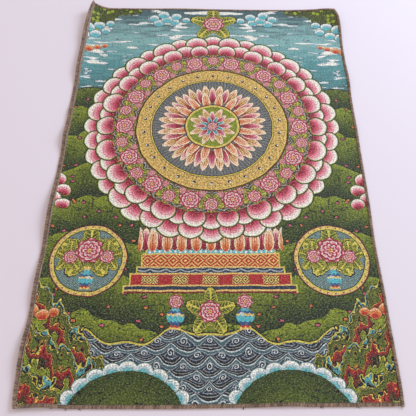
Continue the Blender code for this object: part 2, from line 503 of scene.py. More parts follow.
def mapped_place(tree, map_name):
    """The place on a piece's own UV map, as a vector."""
    plan = tree.nodes.new("ShaderNodeUVMap")
    plan.uv_map = map_name
    return Wire(plan.outputs["UV"])


def bumped(height, strength):
    """The normal of a surface with threads this high, where 1 is a tenth of a millimetre."""
    bump = height.socket.id_data.nodes.new("ShaderNodeBump")
    bump.inputs["Strength"].default_value = strength
    bump.inputs["Distance"].default_value = THREAD_HEIGHT
    feed(bump.inputs["Height"], height)
    return Wire(bump.outputs["Normal"])


def new_material(name):
    """A material with its Principled shader, both ready to be wired."""
    material = bpy.data.materials.new(name)
    material.use_nodes = True
    return material, material.node_tree.nodes["Principled BSDF"]


print("height of a bumped thread, mm:", THREAD_HEIGHT / MM)

# %% [markdown]
# The finish of the thread.
#
# Overlock thread is textured nylon or polyester: a soft, matt yarn with a faint twist. Its
# colour is a greyish taupe. No two stitches catch the light alike, so each has its own
# shade, which the stitches carry in an attribute. The twist is a slanting wave on the
# thread's own map. Three finishes use all this, so it is a node group.

# %% Thread finish
THREAD_MAP = "thread_plan"   # x runs along a thread in mm, y goes once round it
SHADE_NAME = "stitch_shade"  # one random number for each stitch
PATCH_SCALE = 90             # light and dark patches to the metre
TWIST_SCALE = 0.45
TWIST_WAVER = 0.6
TWIST_BUMP = 0.6
STITCH_SHARE = 0.8           # how much a stitch's own shade counts, beside the patches
DARKEST = 0.35               # the sum of shade and patches that gives the dark colour


def thread_group():
    """The colour, the twist and the normal of a thread, from its light and dark shades."""
    tree, (light, dark) = new_group("thread_twist", {"Light": "Color", "Dark": "Color"},
                                    {"Colour": "Color", "Twist": "Float", "Normal": "Vector"})
    twist = tree.nodes.new("ShaderNodeTexWave")
    twist.bands_direction = "DIAGONAL"
    twist.inputs["Scale"].default_value = TWIST_SCALE
    twist.inputs["Distortion"].default_value = TWIST_WAVER
    feed(twist.inputs["Vector"], mapped_place(tree, THREAD_MAP))
    shade = tree.nodes.new("ShaderNodeAttribute")
    shade.attribute_name = SHADE_NAME
    patches = tree.nodes.new("ShaderNodeTexNoise")
    patches.inputs["Scale"].default_value = PATCH_SCALE
    patches.inputs["Detail"].default_value = 3
    feed(patches.inputs["Vector"], Wire(tree.nodes.new("ShaderNodeTexCoord").outputs["Object"]))
    lightness = Wire(shade.outputs["Fac"]) * STITCH_SHARE + Wire(patches.outputs["Fac"]) - DARKEST
    turns = Wire(twist.outputs["Fac"])
    return close_group(tree, mix(lightness, dark, light), turns, bumped(turns, TWIST_BUMP))


thread_twist = thread_group()
print("thread_twist:", len(thread_twist.nodes), "nodes")


# %% Three shades of thread
THREAD_SPECULAR, THREAD_SHEEN = 0.25, 0.15
TWIST_SMOOTHING = 0.15       # how much less rough the crest of a twist is


def thread_material(name, light, dark, roughness):
    """A matt thread in two shades of one colour."""
    material, shader = new_material(name)
    shader.inputs["Specular IOR Level"].default_value = THREAD_SPECULAR
    shader.inputs["Sheen Weight"].default_value = THREAD_SHEEN
    colour, twist, normal = use_group(thread_twist, light, dark, tree=material.node_tree)
    feed(shader.inputs["Base Color"], colour)
    feed(shader.inputs["Roughness"], roughness - twist * TWIST_SMOOTHING)
    feed(shader.inputs["Normal"], normal)
    print("finish:", name)
    return material


thread_finish = thread_material("taupe_thread", linear(190, 162, 142), linear(110, 92, 78), 0.85)
# the band's dark thread is painted shade: the shadow between and under the stitches
shaded_band_finish = thread_material("taupe_thread_under", linear(84, 68, 56), linear(50, 41, 34), 0.95)
# the loose ends' dark colour is partly thread and partly painted shade under the bottom edge
shaded_loose_finish = thread_material("loose_thread", linear(78, 64, 58), linear(44, 36, 34), 0.9)

# %% [markdown]
# The oversewing.
#
# An overlock machine trims the raw edge and wraps it in thread. Each stitch has an upper
# loop, which slants out over the cloth to the edge and runs back, a lower loop that does
# the same underneath, and a needle thread that holds both down along a line inside the
# edge. The stitches stand 2.2 mm apart, so a panel like this has about 1,350 of them.
#
# One stitch is modelled by sweeping a small ring along each thread's path. Geometry Nodes
# then set it out along a guide: they space points on the guide, turn a copy of the stitch
# to the guide's direction and to the cloth's normal there, and make each copy a little
# uneven. Under the stitches lies a band of thread, swept in the shape of a letter C round
# the cloth's edge, which closes the gaps as the real thread's fluff does; its dark colour
# is painted shade, for the shadow between and under the stitches.

# %% Sweep a thread
PAST_SEAM = 0.7              # a face that reaches this far round a thread may cross its seam


def swept_thread(points, radius, sides):
    """Corners, faces and map places of a round thread through points, with closed ends."""
    corners, faces, plan = [], [], []
    run, side = 0.0, None
    for i, point in enumerate(points):
        ahead = points[min(i + 1, len(points) - 1)] - points[max(i - 1, 0)]
        ahead.normalize()
        side = ahead.orthogonal() if side is None else side - ahead * side.dot(ahead)
        side.normalize()
        other = ahead.cross(side)
        run += (point - points[i - 1]).length / MM if i else 0.0
        for k in range(sides):
            turn = 2 * pi * k / sides
            corners.append(point + (side * cos(turn) + other * sin(turn)) * radius)
            plan.append((run, k / sides))
    for i in range(len(points) - 1):
        for k in range(sides):
            a, b = i * sides + k, i * sides + (k + 1) % sides
            faces.append((a, b, b + sides, a + sides))
    last = len(corners) - sides
    faces += [tuple(reversed(range(sides))), tuple(range(last, len(corners)))]
    return corners, faces, plan


def mesh_of_threads(name, threads):
    """One mesh object of several swept threads, each (points, radius, sides)."""
    corners, faces, plan = [], [], []
    for thread in threads:
        more_corners, more_faces, more_plan = swept_thread(*thread)
        faces += [tuple(k + len(corners) for k in face) for face in more_faces]
        corners += more_corners
        plan += more_plan
    mesh = bpy.data.meshes.new(name)
    mesh.from_pydata(corners, [], faces)
    mesh.shade_smooth()
    layer = mesh.uv_layers.new(name=THREAD_MAP)
    for polygon in mesh.polygons:
        at_seam = max(plan[k][1] for k in polygon.vertices) > PAST_SEAM
        for loop in polygon.loop_indices:
            along, turn = plan[mesh.loops[loop].vertex_index]
            layer.data[loop].uv = (along, 1.0 if at_seam and turn == 0 else turn)
    return bpy.data.objects.new(name, mesh)


trial = swept_thread([Vector((0, 0, 0)), Vector((MM, 0, 0))], MM, 6)
print("a straight thread of one step:", len(trial[0]), "corners,", len(trial[1]), "faces")

# %% Model one stitch
# In the stitch's own frame x runs along the cloth's edge, y outwards from it and z up from
# the middle of the cloth. The edge is at y = 0 and the needle line at y = -NEEDLE_LINE.
STITCH_PITCH = 0.0022
NEEDLE_LINE = 5.1            # mm
LOOPER_RADIUS = 0.00040
NEEDLE_RADIUS = 0.00021

upper_loop = ((0.0, -NEEDLE_LINE, 0.80), (0.06, -4.7, 1.18), (0.36, -2.5, 1.30),
              (0.62, -0.7, 1.12), (0.72, 0.10, 0.55), (0.78, 0.26, 0.0), (0.86, 0.10, 0.50),
              (0.92, -0.7, 1.02), (0.97, -2.6, 1.12), (1.0, -NEEDLE_LINE, 0.80))
lower_loop = ((0.30, -4.9, -0.70), (0.42, -2.5, -0.88), (0.70, -0.4, -0.82), (0.78, 0.22, -0.25),
              (0.88, -0.4, -0.82), (1.12, -2.5, -0.88), (1.30, -4.9, -0.70))
needle_thread = ((-0.04, -NEEDLE_LINE, 0.90), (0.14, -NEEDLE_LINE, 1.42),
                 (0.50, -NEEDLE_LINE, 1.56), (0.86, -NEEDLE_LINE, 1.42),
                 (1.04, -NEEDLE_LINE, 0.90))


def stitch_path(rows):
    """Points of a thread from rows of (share of the pitch, outwards in mm, up in mm)."""
    return [Vector((share * STITCH_PITCH, out * MM, up * MM)) for share, out, up in rows]


stitch = mesh_of_threads("one_stitch", [
    (stitch_path(upper_loop), LOOPER_RADIUS, 6),
    (stitch_path(lower_loop), LOOPER_RADIUS, 5),
    (stitch_path(needle_thread), NEEDLE_RADIUS, 4),
])
stitch_triangles = sum(len(p.vertices) - 2 for p in stitch.data.polygons)
print("one stitch:", stitch_triangles, "triangles")

# %% [markdown]
# The tree that sets the stitches out. Its input geometry is the guide, a chain of edges
# along one side of the cloth, and every vertex of the guide carries the cloth's normal in
# an attribute. The tree's inputs have names, and its random numbers have a seed, so the
# same tree serves all four sides. It ends with real meshes instead of instances.

# %% The tree's inputs and a helper that adds nodes
NORMAL_NAME = "cloth_normal"
LEAN = Vector((0.15, 0.3, 1.1))              # radians, before the unevenness
SHRINK, STRETCH = Vector((-1.5, -0.5, -0.6)), Vector((1.5, 0.1, 0.6))
LEAN_DRAW, STRETCH_DRAW = 11, 23             # keep the two sets of random numbers apart
UNEVENNESS = 0.1
TREE_INPUTS = {
    "Guide": ("Geometry", None), "Stitch": ("Object", None), "Band": ("Object", None),
    "Pitch": ("Float", STITCH_PITCH), "Unevenness": ("Float", UNEVENNESS), "Seed": ("Int", 1),
    "Thread": ("Material", None), "Band thread": ("Material", None),
}


def adder(tree):
    """A function that puts nodes into this tree."""
    def add(kind, inputs, **settings):
        """Put a node in, with values or other nodes' sockets at its inputs: its outputs."""
        node = tree.nodes.new(kind)
        for name, value in settings.items():
            setattr(node, name, value)
        for name, values in inputs.items():
            for value in values if isinstance(values, list) else [values]:
                if isinstance(value, bpy.types.NodeSocket):
                    tree.links.new(value, node.inputs[name])
                else:
                    node.inputs[name].default_value = value
        return node.outputs
    return add


def random_vector(add, given, low, high, draw):
    """A random vector for each stitch, scaled by the unevenness."""
    seed = add("ShaderNodeMath", {0: given["Seed"], 1: draw})
    random = add("FunctionNodeRandomValue", {"Min": low, "Max": high, "Seed": seed[0]},
                 data_type="FLOAT_VECTOR")
    return add("ShaderNodeVectorMath", {0: random["Value"], "Scale": given["Unevenness"]},
               operation="SCALE")[0]


print("inputs of the tree:", ", ".join(TREE_INPUTS))

# %% Build the tree
def build_oversewing_tree():
    """The tree that sets a stitch out along a guide, over a band of thread."""
    tree = bpy.data.node_groups.new("set_out_stitches", "GeometryNodeTree")
    for name, (kind, default) in TREE_INPUTS.items():
        socket = tree.interface.new_socket(name, in_out="INPUT", socket_type="NodeSocket" + kind)
        if default is not None:
            socket.default_value = default
    tree.interface.new_socket("Geometry", in_out="OUTPUT", socket_type="NodeSocketGeometry")

    add = adder(tree)
    given = add("NodeGroupInput", {})
    curve = add("GeometryNodeMeshToCurve", {"Mesh": given["Guide"]})
    spaced = add("GeometryNodeResampleCurve",
                 {"Curve": curve["Curve"], "Length": given["Pitch"]}, mode="LENGTH")

    tangent = add("GeometryNodeInputTangent", {})
    normal = add("GeometryNodeInputNamedAttribute", {"Name": NORMAL_NAME},
                 data_type="FLOAT_VECTOR")
    along = add("FunctionNodeAlignRotationToVector", {"Vector": tangent["Tangent"]}, axis="X")
    upright = add("FunctionNodeAlignRotationToVector",
                  {"Rotation": along["Rotation"], "Vector": normal["Attribute"]},
                  axis="Z", pivot_axis="X")

    turn = random_vector(add, given, -LEAN, LEAN, LEAN_DRAW)
    lean = add("FunctionNodeRotateRotation",
               {"Rotation": upright["Rotation"], "Rotate By": turn}, rotation_space="LOCAL")
    growth = random_vector(add, given, SHRINK, STRETCH, STRETCH_DRAW)
    scale = add("ShaderNodeVectorMath", {0: growth, 1: (1, 1, 1)})
    one = add("GeometryNodeObjectInfo", {"Object": given["Stitch"]})
    copies = add("GeometryNodeInstanceOnPoints",
                 {"Points": spaced["Curve"], "Instance": one["Geometry"],
                  "Rotation": lean["Rotation"], "Scale": scale[0]})
    chance = add("FunctionNodeRandomValue", {"Seed": given["Seed"]})
    shade = add("GeometryNodeStoreNamedAttribute",
                {"Geometry": copies["Instances"], "Name": SHADE_NAME, "Value": chance[1]},
                domain="INSTANCE")
    real = add("GeometryNodeRealizeInstances", {"Geometry": shade["Geometry"]})
    sewn = add("GeometryNodeSetMaterial",
               {"Geometry": real["Geometry"], "Material": given["Thread"]})
    band = add("GeometryNodeObjectInfo", {"Object": given["Band"]})
    dyed_band = add("GeometryNodeSetMaterial",
                    {"Geometry": band["Geometry"], "Material": given["Band thread"]})
    both = add("GeometryNodeJoinGeometry",
               {"Geometry": [dyed_band["Geometry"], sewn["Geometry"]]})
    add("NodeGroupOutput", {"Geometry": both["Geometry"]})
    return tree


oversewing_tree = build_oversewing_tree()
print("set_out_stitches:", len(oversewing_tree.nodes), "nodes")

# %% [markdown]
# The four sides. A side says how a place along it and a distance in from it become a place
# on the flat cloth. Each runs so that the cloth lies on its right hand, which turns every
# stitch's y outwards. The side bands run the full length and the end bands fit between
# them, as the solids do.

# %% The four sides
GUIDE_STEP = 0.004
BAND_SECTION = (             # distance in from the side and height above the table, mm
    (5.3, 0.30), (2.0, 0.24), (0.75, 0.30), (0.35, 0.85), (0.35, 1.75), (0.75, 2.28),
    (2.0, 2.36), (5.3, 2.30), (5.5, 2.0), (5.5, 1.85), (1.2, 1.85), (1.2, 0.75),
    (5.5, 0.75), (5.5, 0.55),
)
Side = namedtuple("Side", "name node half_run place_of seed")
SIDES = (
    Side("oversewing_left", "edging_left", HALF_LENGTH,
         lambda along, inwards: (-HALF_WIDTH + inwards, along), 3),
    Side("oversewing_right", "edging_right", HALF_LENGTH,
         lambda along, inwards: (HALF_WIDTH - inwards, -along), 5),
    Side("oversewing_top", "edging_top", HALF_WIDTH - EDGING_WIDTH - CLEARANCE,
         lambda along, inwards: (along, HALF_LENGTH - inwards), 7),
    Side("oversewing_bottom", "edging_bottom", HALF_WIDTH - EDGING_WIDTH - CLEARANCE,
         lambda along, inwards: (-along, -HALF_LENGTH + inwards), 9),
)
print("runs of the oversewing, mm:", [round(2 * side.half_run / MM, 1) for side in SIDES])


# %% Guides and bands
def even_steps(half_run, step):
    """Evenly spaced places from one end of a side to the other."""
    count = int(2 * half_run / step) + 1
    return [-half_run + 2 * half_run * i / count for i in range(count + 1)]


def make_guide(side):
    """Chain of edges along the side, at the cloth's middle height."""
    places = [side.place_of(along, 0.0) for along in even_steps(side.half_run, GUIDE_STEP)]
    mesh = bpy.data.meshes.new(side.name + "_guide")
    mesh.from_pydata([laid(*place, EDGING_HEIGHT / 2) for place in places],
                     [(i, i + 1) for i in range(len(places) - 1)], [])
    normals = mesh.attributes.new(NORMAL_NAME, "FLOAT_VECTOR", "POINT")
    for item, place in zip(normals.data, places):
        item.vector = surface_normal(*place)
    return bpy.data.objects.new(side.name + "_guide", mesh)


def make_band(side):
    """The layer of thread under the stitches, a flat letter C swept along the side."""
    corners, faces = [], []
    size = len(BAND_SECTION)
    for along in even_steps(side.half_run, GUIDE_STEP):
        for inwards, height in BAND_SECTION:
            corners.append(laid(*side.place_of(along, inwards * MM), height * MM))
    for first in range(0, len(corners) - size, size):
        for k in range(size):
            a, b = first + k, first + (k + 1) % size
            faces.append((a, b, b + size, a + size))
    last = len(corners) - size
    faces += [tuple(reversed(range(size))), tuple(range(last, len(corners)))]
    mesh = bpy.data.meshes.new(side.name + "_band")
    mesh.from_pydata(corners, [], faces)
    outwards = bmesh.new()
    outwards.from_mesh(mesh)
    bmesh.ops.recalc_face_normals(outwards, faces=outwards.faces)
    outwards.to_mesh(mesh)
    outwards.free()
    mesh.shade_smooth()
    return bpy.data.objects.new(side.name + "_band", mesh)


print("band:", len(BAND_SECTION), "points round its section,",
      len(even_steps(HALF_LENGTH, GUIDE_STEP)), "sections on a long side")

# %% Sew the four sides
def set_inputs(modifier, values):
    """Set a Geometry Nodes modifier's inputs by their sockets' identifiers."""
    for socket in modifier.node_group.interface.items_tree:
        if socket.item_type == "SOCKET" and socket.in_out == "INPUT" and socket.name in values:
            modifier[socket.identifier] = values[socket.name]


def sew(side):
    """Run the tree on a side's guide and keep the result as a plain mesh."""
    guide = make_guide(side)
    bpy.context.collection.objects.link(guide)
    modifier = guide.modifiers.new("set_out_stitches", "NODES")
    modifier.node_group = oversewing_tree
    set_inputs(modifier, {"Stitch": stitch, "Band": make_band(side), "Pitch": STITCH_PITCH,
                          "Unevenness": UNEVENNESS, "Seed": side.seed, "Thread": thread_finish,
                          "Band thread": shaded_band_finish})
    depsgraph = bpy.context.evaluated_depsgraph_get()
    mesh = bpy.data.meshes.new_from_object(guide.evaluated_get(depsgraph),
                                           preserve_all_data_layers=True, depsgraph=depsgraph)
    mesh.name = side.name
    guide.modifiers.remove(modifier)
    bpy.data.objects.remove(guide)
    sewn = bpy.data.objects.new(side.name, mesh)
    bpy.context.collection.objects.link(sewn)
    triangles = sum(len(polygon.vertices) - 2 for polygon in mesh.polygons)
    print(f"{side.name}: {int(2 * side.half_run / STITCH_PITCH)} stitches, {triangles:,} triangles")
    return sewn


sewn_sides = {side.name: sew(side) for side in SIDES}

# %% [markdown]
# How a picture is woven, and how it is drawn here.
#
# A figured brocade has no paint. The loom brings one coloured weft thread or another to
# the face, so the picture is made of short floats of some thirty colours, and every
# outline climbs in steps as wide as one thread. The picture on this panel is drawn the
# same way, from rules and with no image: a tree of shader nodes takes a place on the flat
# cloth, moves it to the middle of its thread, and works out which colour shows there.
#
# The design is the traditional kind that such panels carry: a round flower mandala within
# a bank of clouds, over a lotus pedestal, with two flower medallions, a meadow, rocks,
# water and two mounds. Repeats do most of the work. The picture is the same left and
# right, so it is drawn once on the distance from its middle line, and a ring of fourteen
# flowers is one flower drawn in a wedge.
#
# The renderer has a small memory for half-made values, and works through the nodes in the
# order in which they were made. A node that waits for a texture is put off to the next
# turn, and all that needs no texture would be worked out first and fill that memory. So a
# place has an early form, called the spot, at which all noise is taken, and a later form,
# which has waited for a turn as well, at which everything is drawn, from back to front.

# %% Noise, cells and random numbers
def texture_of(tree, kind, x, y):
    """A texture node of this kind, in two dimensions, at the place (x, y)."""
    spot = tree.nodes.new("ShaderNodeCombineXYZ")
    feed(spot.inputs[0], x)
    feed(spot.inputs[1], y)
    node = tree.nodes.new(kind)
    setattr(node, "noise_dimensions" if "Noise" in kind else "voronoi_dimensions", "2D")
    feed(node.inputs["Vector"], Wire(spot.outputs[0]))
    return node


def noise_group():
    """Soft noise from 0 to 1, with lumps of a given width and height."""
    tree, (x, y, width, height, detail) = new_group(
        "soft_noise", dict.fromkeys(("Across", "Up", "Width", "Height", "Detail"), "Float"),
        {"Noise": "Float"})
    node = texture_of(tree, "ShaderNodeTexNoise", x / width, y / height)
    node.inputs["Scale"].default_value = 1.0
    feed(node.inputs["Detail"], detail)
    return close_group(tree, Wire(node.outputs[0]))


def cell_group():
    """Scattered cells: the distance from a cell's middle, and a random number for each cell."""
    tree, (x, y, width, height) = new_group(
        "scattered_cells", dict.fromkeys(("Across", "Up", "Width", "Height"), "Float"),
        {"Distance": "Float", "Chance": "Float"})
    node = texture_of(tree, "ShaderNodeTexVoronoi", x / width, y / height)
    node.inputs["Scale"].default_value = 1.0
    chance = tree.nodes.new("ShaderNodeSeparateColor")
    feed(chance.inputs[0], Wire(node.outputs["Color"]))
    return close_group(tree, Wire(node.outputs["Distance"]), Wire(chance.outputs[0]))


def random_group():
    """A random number for each pair of whole numbers."""
    tree, (x, y) = new_group("random_number", {"First": "Float", "Second": "Float"},
                             {"Chance": "Float"})
    node = texture_of(tree, "ShaderNodeTexWhiteNoise", x, y)
    return close_group(tree, Wire(node.outputs["Value"]))


soft_noise, scattered_cells, random_number = noise_group(), cell_group(), random_group()
print("texture groups:", soft_noise.name, scattered_cells.name, random_number.name)


# %% Places, motifs and rings of motifs
def noise(spot, width, height, detail=2.0, shift=0.0):
    """Noise at an early place (x, y), moved aside by this shift to give another pattern."""
    x, y = spot
    return use_group(soft_noise, x + shift if shift else x, y, width, height, detail)[0]


def cells(spot, width, height):
    """Scattered cells: the distance from the nearest middle, and the cell's own chance."""
    return use_group(scattered_cells, *spot, width, height)


def later(x, y):
    """The same place, handed on by way of two nodes that join the numbers and part them again."""
    pair = x.socket.id_data.nodes.new("ShaderNodeCombineXYZ")
    feed(pair.inputs[0], x)
    feed(pair.inputs[1], y)
    parts = pair.id_data.nodes.new("ShaderNodeSeparateColor")
    feed(parts.inputs[0], Wire(pair.outputs[0]))
    return Wire(parts.outputs[0]), Wire(parts.outputs[1])


def motif(name, draw):
    """A node group that draws one motif: a place in mm in, its colour and cover out."""
    tree, place_in_mm = new_group(name, {"Across": "Float", "Up": "Float"},
                                  {"Colour": "Color", "Cover": "Float"})
    group = close_group(tree, *draw(*place_in_mm))
    print(f"{name}: {len(group.nodes)} nodes")
    return group


def lay(picture, drawn, within=None):
    """Lay a drawn motif over the picture, within a mask if one is given."""
    colour, cover = drawn
    return mix(cover if within is None else cover & within, picture, colour)


SCATTER = 12.9898, 4375.85   # a fast wave and a great height scatter whole numbers well


def ring_of(group, radius, angle, count, distance, size=1.0, turned=0.0, uneven=0.0):
    """A ring of copies: each wedge of the circle shows one, at this distance out."""
    turn = row(angle + turned, 2 * pi / count)
    share = 1 / size
    if uneven:
        wedge = whole((angle + turned) * (count / (2 * pi)) + 0.5)
        chance = part(sine(wedge * SCATTER[0] + distance) * SCATTER[1])
        share = chance * (uneven / size) + (1 - uneven / 2) / size
    return use_group(group, sine(turn) * radius * share, (cosine(turn) * radius - distance) * share)


print("a wedge of a ring of fourteen, degrees:", round(360 / 14, 1))

# %% [markdown]
# Flowers, leaves and clouds. A peony is rings of scalloped petals, each petal pale at its
# rim and dark at its foot. Its leaves stand out round it in a star. A cloud lobe is a
# disc whose colours deepen towards its root, with a curl drawn in it and a dark rim.

# %% Peony and its leaves
PEONY_RADIUS, PEONY_RINGS = 20, 3.2     # mm, and rings of petals from heart to rim
PEONY_LOBES = 7
PEONY_HEART, PEONY_RIM = 0.17, 0.93     # shares of the radius
LEAF_FOOT, LEAF_REACH = 18, 17          # mm: radius between the leaves, and how far they reach on
LEAF_COUNT, LEAF_TEETH = 5, 20          # leaves in the star, and teeth in half a turn


def draw_peony(x, y):
    """A full-blown peony, with lobes to its rings of petals."""
    radius, angle = polar(x, y)
    half_lobes = PEONY_LOBES / 2
    frill = (abs(cosine(angle * half_lobes)) * 0.14
             + abs(cosine(angle * (PEONY_LOBES * 2))) * 0.04 + 0.83)
    t = radius / (frill * PEONY_RADIUS)
    ring = whole(t * PEONY_RINGS)
    petals = part(t * PEONY_RINGS - abs(cosine(angle * half_lobes + ring * 0.8)) * 0.6)
    colour = bands(petals, (0, "wine"), (0.25, "crimson"), (0.5, "rose"), (0.75, "pink"),
                   (0.9, "white"), (0.99, "white"), (1.0, "wine"), smooth=True)
    heart = length(row(x, 3.2), row(y, 3.2)) < 1.0
    colour = mix(t < PEONY_HEART, colour, mix(heart, "gold", "red"))
    return mix(t > PEONY_RIM, colour, "wine"), t < 1


def draw_leaves(x, y):
    """Leaves in a star, with toothed rims and a rib in each."""
    radius, angle = polar(x, y)
    spread = abs(cosine(angle * (LEAF_COUNT / 2)))
    reach = spread * spread * LEAF_REACH + LEAF_FOOT + abs(sine(angle * LEAF_TEETH)) * 1.5
    t = radius / reach
    rib = (spread > 0.99) | (part(radius / 5 + spread * 3) < 0.16)
    green = bands(t, (0, "moss"), (0.72, "olive"), (0.9, "straw"), (0.96, "ink"))
    colour = mix(rib, green, "straw")
    return mix(t > 0.95, colour, "ink"), t < 1


peony = motif("peony", draw_peony)
leaves = motif("peony_leaves", draw_leaves)


# %% Cloud lobes
LOBE_RADIUS, ROOT_DEPTH = 30, 20        # mm: a lobe's colours spread from a root below its middle
LOBE_STARTS = (0.15, 0.31, 0.44, 0.58, 0.76)


def lobe_drawer(colours, curl_dye, inner_rim, outer_rim):
    """A drawer of a cloud's lobe, in its own colours from root to rim."""
    def draw_lobe(x, y):
        out = length(x, y * 1.12) * (1 / LOBE_RADIUS)
        root, angle = polar(x, y + ROOT_DEPTH)
        streaks = sine(angle * 30) * 0.03
        colour = bands(root * (1 / (LOBE_RADIUS + ROOT_DEPTH)) + streaks,
                       *zip(LOBE_STARTS, colours), smooth=True)
        curl, turn = polar(x - 5, (y + 4) * 1.3)
        line = part(turn * (1 / (2 * pi)) + curl * (1 / 9)) < 0.15
        colour = mix(line & (curl < 20), colour, curl_dye)
        colour = mix(out > 0.86, colour, inner_rim)
        return mix(out > 0.91, colour, outer_rim), out < 1
    return draw_lobe


lobe = motif("rosy_cloud_lobe", lobe_drawer(
    ("wine", "crimson", "rose", "pink", "white"), "rose", "lime", "forest"))
pale_lobe = motif("pale_cloud_lobe", lobe_drawer(
    ("turquoise", "turquoise", "sky", "mist", "white"), "turquoise", "sky", "slate"))
warm_lobe = motif("warm_cloud_lobe", lobe_drawer(
    ("red", "red", "orange", "orange", "peach"), "red", "gold", "wine"))

# %% [markdown]
# Petals, gems and vases. A lotus petal stands on its foot, and its colours change from
# foot to tip, with the rim kept pale. Four sets of colours make four kinds of petal. The
# gems and vases are circles and stripes, as they are on squared weavers' paper.

# %% Lotus petals
PETAL_LENGTH, PETAL_WIDTH = 40, 17      # mm
TIP_WIDTH = 0.01                        # mm: keeps the tip's width from being nothing


def petal_drawer(*colours):
    """A drawer of a petal that stands on its foot, coloured from foot to tip."""
    starts = [i / (len(colours) - 1) for i in range(len(colours))]

    def draw_petal(x, y):
        t = y * (1 / PETAL_LENGTH)
        swell = node_of("SQRT", node_of("MAXIMUM", t * (1 - t), 0.0))
        half = swell * (1.25 - t * 0.5) * PETAL_WIDTH
        side = abs(x) / node_of("MAXIMUM", half, TIP_WIDTH)
        colour = bands(t + side * side * 0.3, *zip(starts, colours), smooth=True)
        rib = part(abs(x) * 0.36) < 0.22
        colour = mix(rib & (side < 0.55) & (t < 0.75), colour, colours[0])
        colour = mix(side > 0.7, colour, "cream")
        return mix(side > 0.87, colour, "wine"), between(t, 0.0, 1.0) & (side < 1)
    return draw_petal


petal = motif("rosy_petal", petal_drawer("wine", "crimson", "rose", "pink", "cream"))
warm_petal = motif("warm_petal", petal_drawer("red", "orange", "peach", "peach", "cream"))
gold_petal = motif("gold_petal", petal_drawer("wine", "red", "gold", "peach", "cream"))
cool_petal = motif("cool_petal", petal_drawer("navy", "blue", "turquoise", "sky", "mist"))


# %% Gems and vases
GEM_RADIUS = 6                          # mm, with its setting


def draw_gem(x, y):
    """A dark gem with a light on it, in a gold setting."""
    out = length(x, y)
    colour = bands(out, (0, "navy"), (2.6, "ink"), (3.6, "gold"), (5.2, "ochre"),
                   (GEM_RADIUS, "ochre"))
    return mix(length(x + 1.2, y - 1.4) < 1.5, colour, "white"), out < GEM_RADIUS


gem = motif("gem", draw_gem)


def draw_vase(x, y):
    """A round vase with a neck and a foot, 50 mm high, standing on y = 0."""
    across = abs(x)
    belly = length(x, (y - 21) * 1.1) < 15
    neck = (across < (y - 40) * (y - 40) * 0.06 + 5) & between(y, 30, 48)
    foot = (across < 11 - y * 0.5) & between(y, 0, 9)
    wave = abs(sine(x * 0.42)) * 2.5
    colour = bands(y + wave, (0, "gold"), (5, "red"), (8, "blue"), (14, "turquoise"), (24, "gold"),
                   (28, "blue"), (33, "turquoise"), (43, "gold"), (60, "gold"))
    shine = length(x + 5, y - 26) < 3
    return mix(shine, colour, "mist"), belly | neck | foot


vase = motif("vase", draw_vase)


# %% [markdown]
# The mandala. Seen from its middle, every place has a distance and an angle, and a ring of
# anything is that thing drawn once in a wedge. It is built from the outside inwards: a
# bank of cloud lobes, a garland of peonies, a gold ring with gems, a slate disc with rays,
# and lotus petals round a green heart.

# %% The rings of the mandala
MANDALA_UP = 92              # mm above the cloth's middle
# Radii of its discs in mm, from the outside inwards.
CLOUD_DISC, GARLAND, GOLD_RING, SLATE_DISC, HEART_RIM, HEART = 228, 203, 157.5, 122, 58, 51
LOBE_UNEVENNESS = 0.24
RingOf = namedtuple("RingOf", "motif count distance size turned")
LOBE_RINGS = (
    RingOf(lobe, 20, 243, 0.84, 0), RingOf(lobe, 20, 240, 0.88, pi / 20),
    RingOf(lobe, 22, 218, 0.76, 0), RingOf(lobe, 22, 216, 0.80, pi / 22),
)
SCROLL_BANDS = (
    (0, "ink"), (0.22, "olive"), (0.4, "forest"), (0.52, "pink"), (0.62, "wine"), (0.74, "white"),
    (0.8, "teal"), (0.9, "ink"), (1, "ink"),
)
GOLD_INSIDE, GOLD_OUTSIDE = 127, 152    # mm
RING_GEMS = 26, 139.5                   # how many, and mm from the middle
GOLD_RING_BANDS = (
    (0, "smoke"), (SLATE_DISC, "ink"), (123.5, "straw"), (125.5, "wine"), (GOLD_INSIDE, "gold"),
    (GOLD_OUTSIDE, "straw"), (153.5, "wine"), (155.5, "forest"), (160, "forest"),
)
GOLD_MIX = ((3.2, 0, 0.57, "ochre"), (3.8, 90, 0.62, "olive"), (3.2, 190, 0.68, "red"))
HEART_BANDS = ((0, "lime"), (HEART, "straw"), (53, "gold"), (55.5, "ink"), (HEART_RIM, "ink"))
GARLAND_RINGS = (
    RingOf(leaves, 14, 179, 1.0, pi / 14), RingOf(leaves, 14, 184, 0.72, 0),
    RingOf(peony, 14, 186, 0.72, 0), RingOf(peony, 28, 165, 0.40, pi / 28),
    RingOf(peony, 14, 180, 1.08, pi / 14),
)
LOTUS_RINGS = (
    RingOf(gold_petal, 20, 64, 1.2, pi / 20), RingOf(petal, 20, 62, 1.1, 0),
    RingOf(warm_petal, 16, 48, 1.1, pi / 16),
)
HEART_RINGS = (
    RingOf(gold_petal, 8, 9, 1.02, pi / 8), RingOf(petal, 8, 8, 0.80, 0),
    RingOf(cool_petal, 8, 6, 0.52, pi / 8),
)
print("lobes round the mandala:", sum(ring.count for ring in LOBE_RINGS))


# %% Garland, gold ring and heart
def lay_rings(picture, radius, angle, rings, within=None):
    """Lay rings of motifs over the picture, one after the other."""
    for ring in rings:
        drawn = ring_of(ring.motif, radius, angle, *ring[1:])
        picture = lay(picture, drawn, within)
    return picture


def draw_garland(picture, radius, angle, spot):
    """Peonies and their leaves over a ground of small scrolls."""
    scrolls = part(radius * 0.14 + abs(sine(angle * 28)) * 0.9 + noise(spot, 9, 9) * 0.8)
    ground = bands(scrolls, *SCROLL_BANDS)
    garland = radius < GARLAND
    return lay_rings(mix(garland, picture, ground), radius, angle, GARLAND_RINGS, garland)


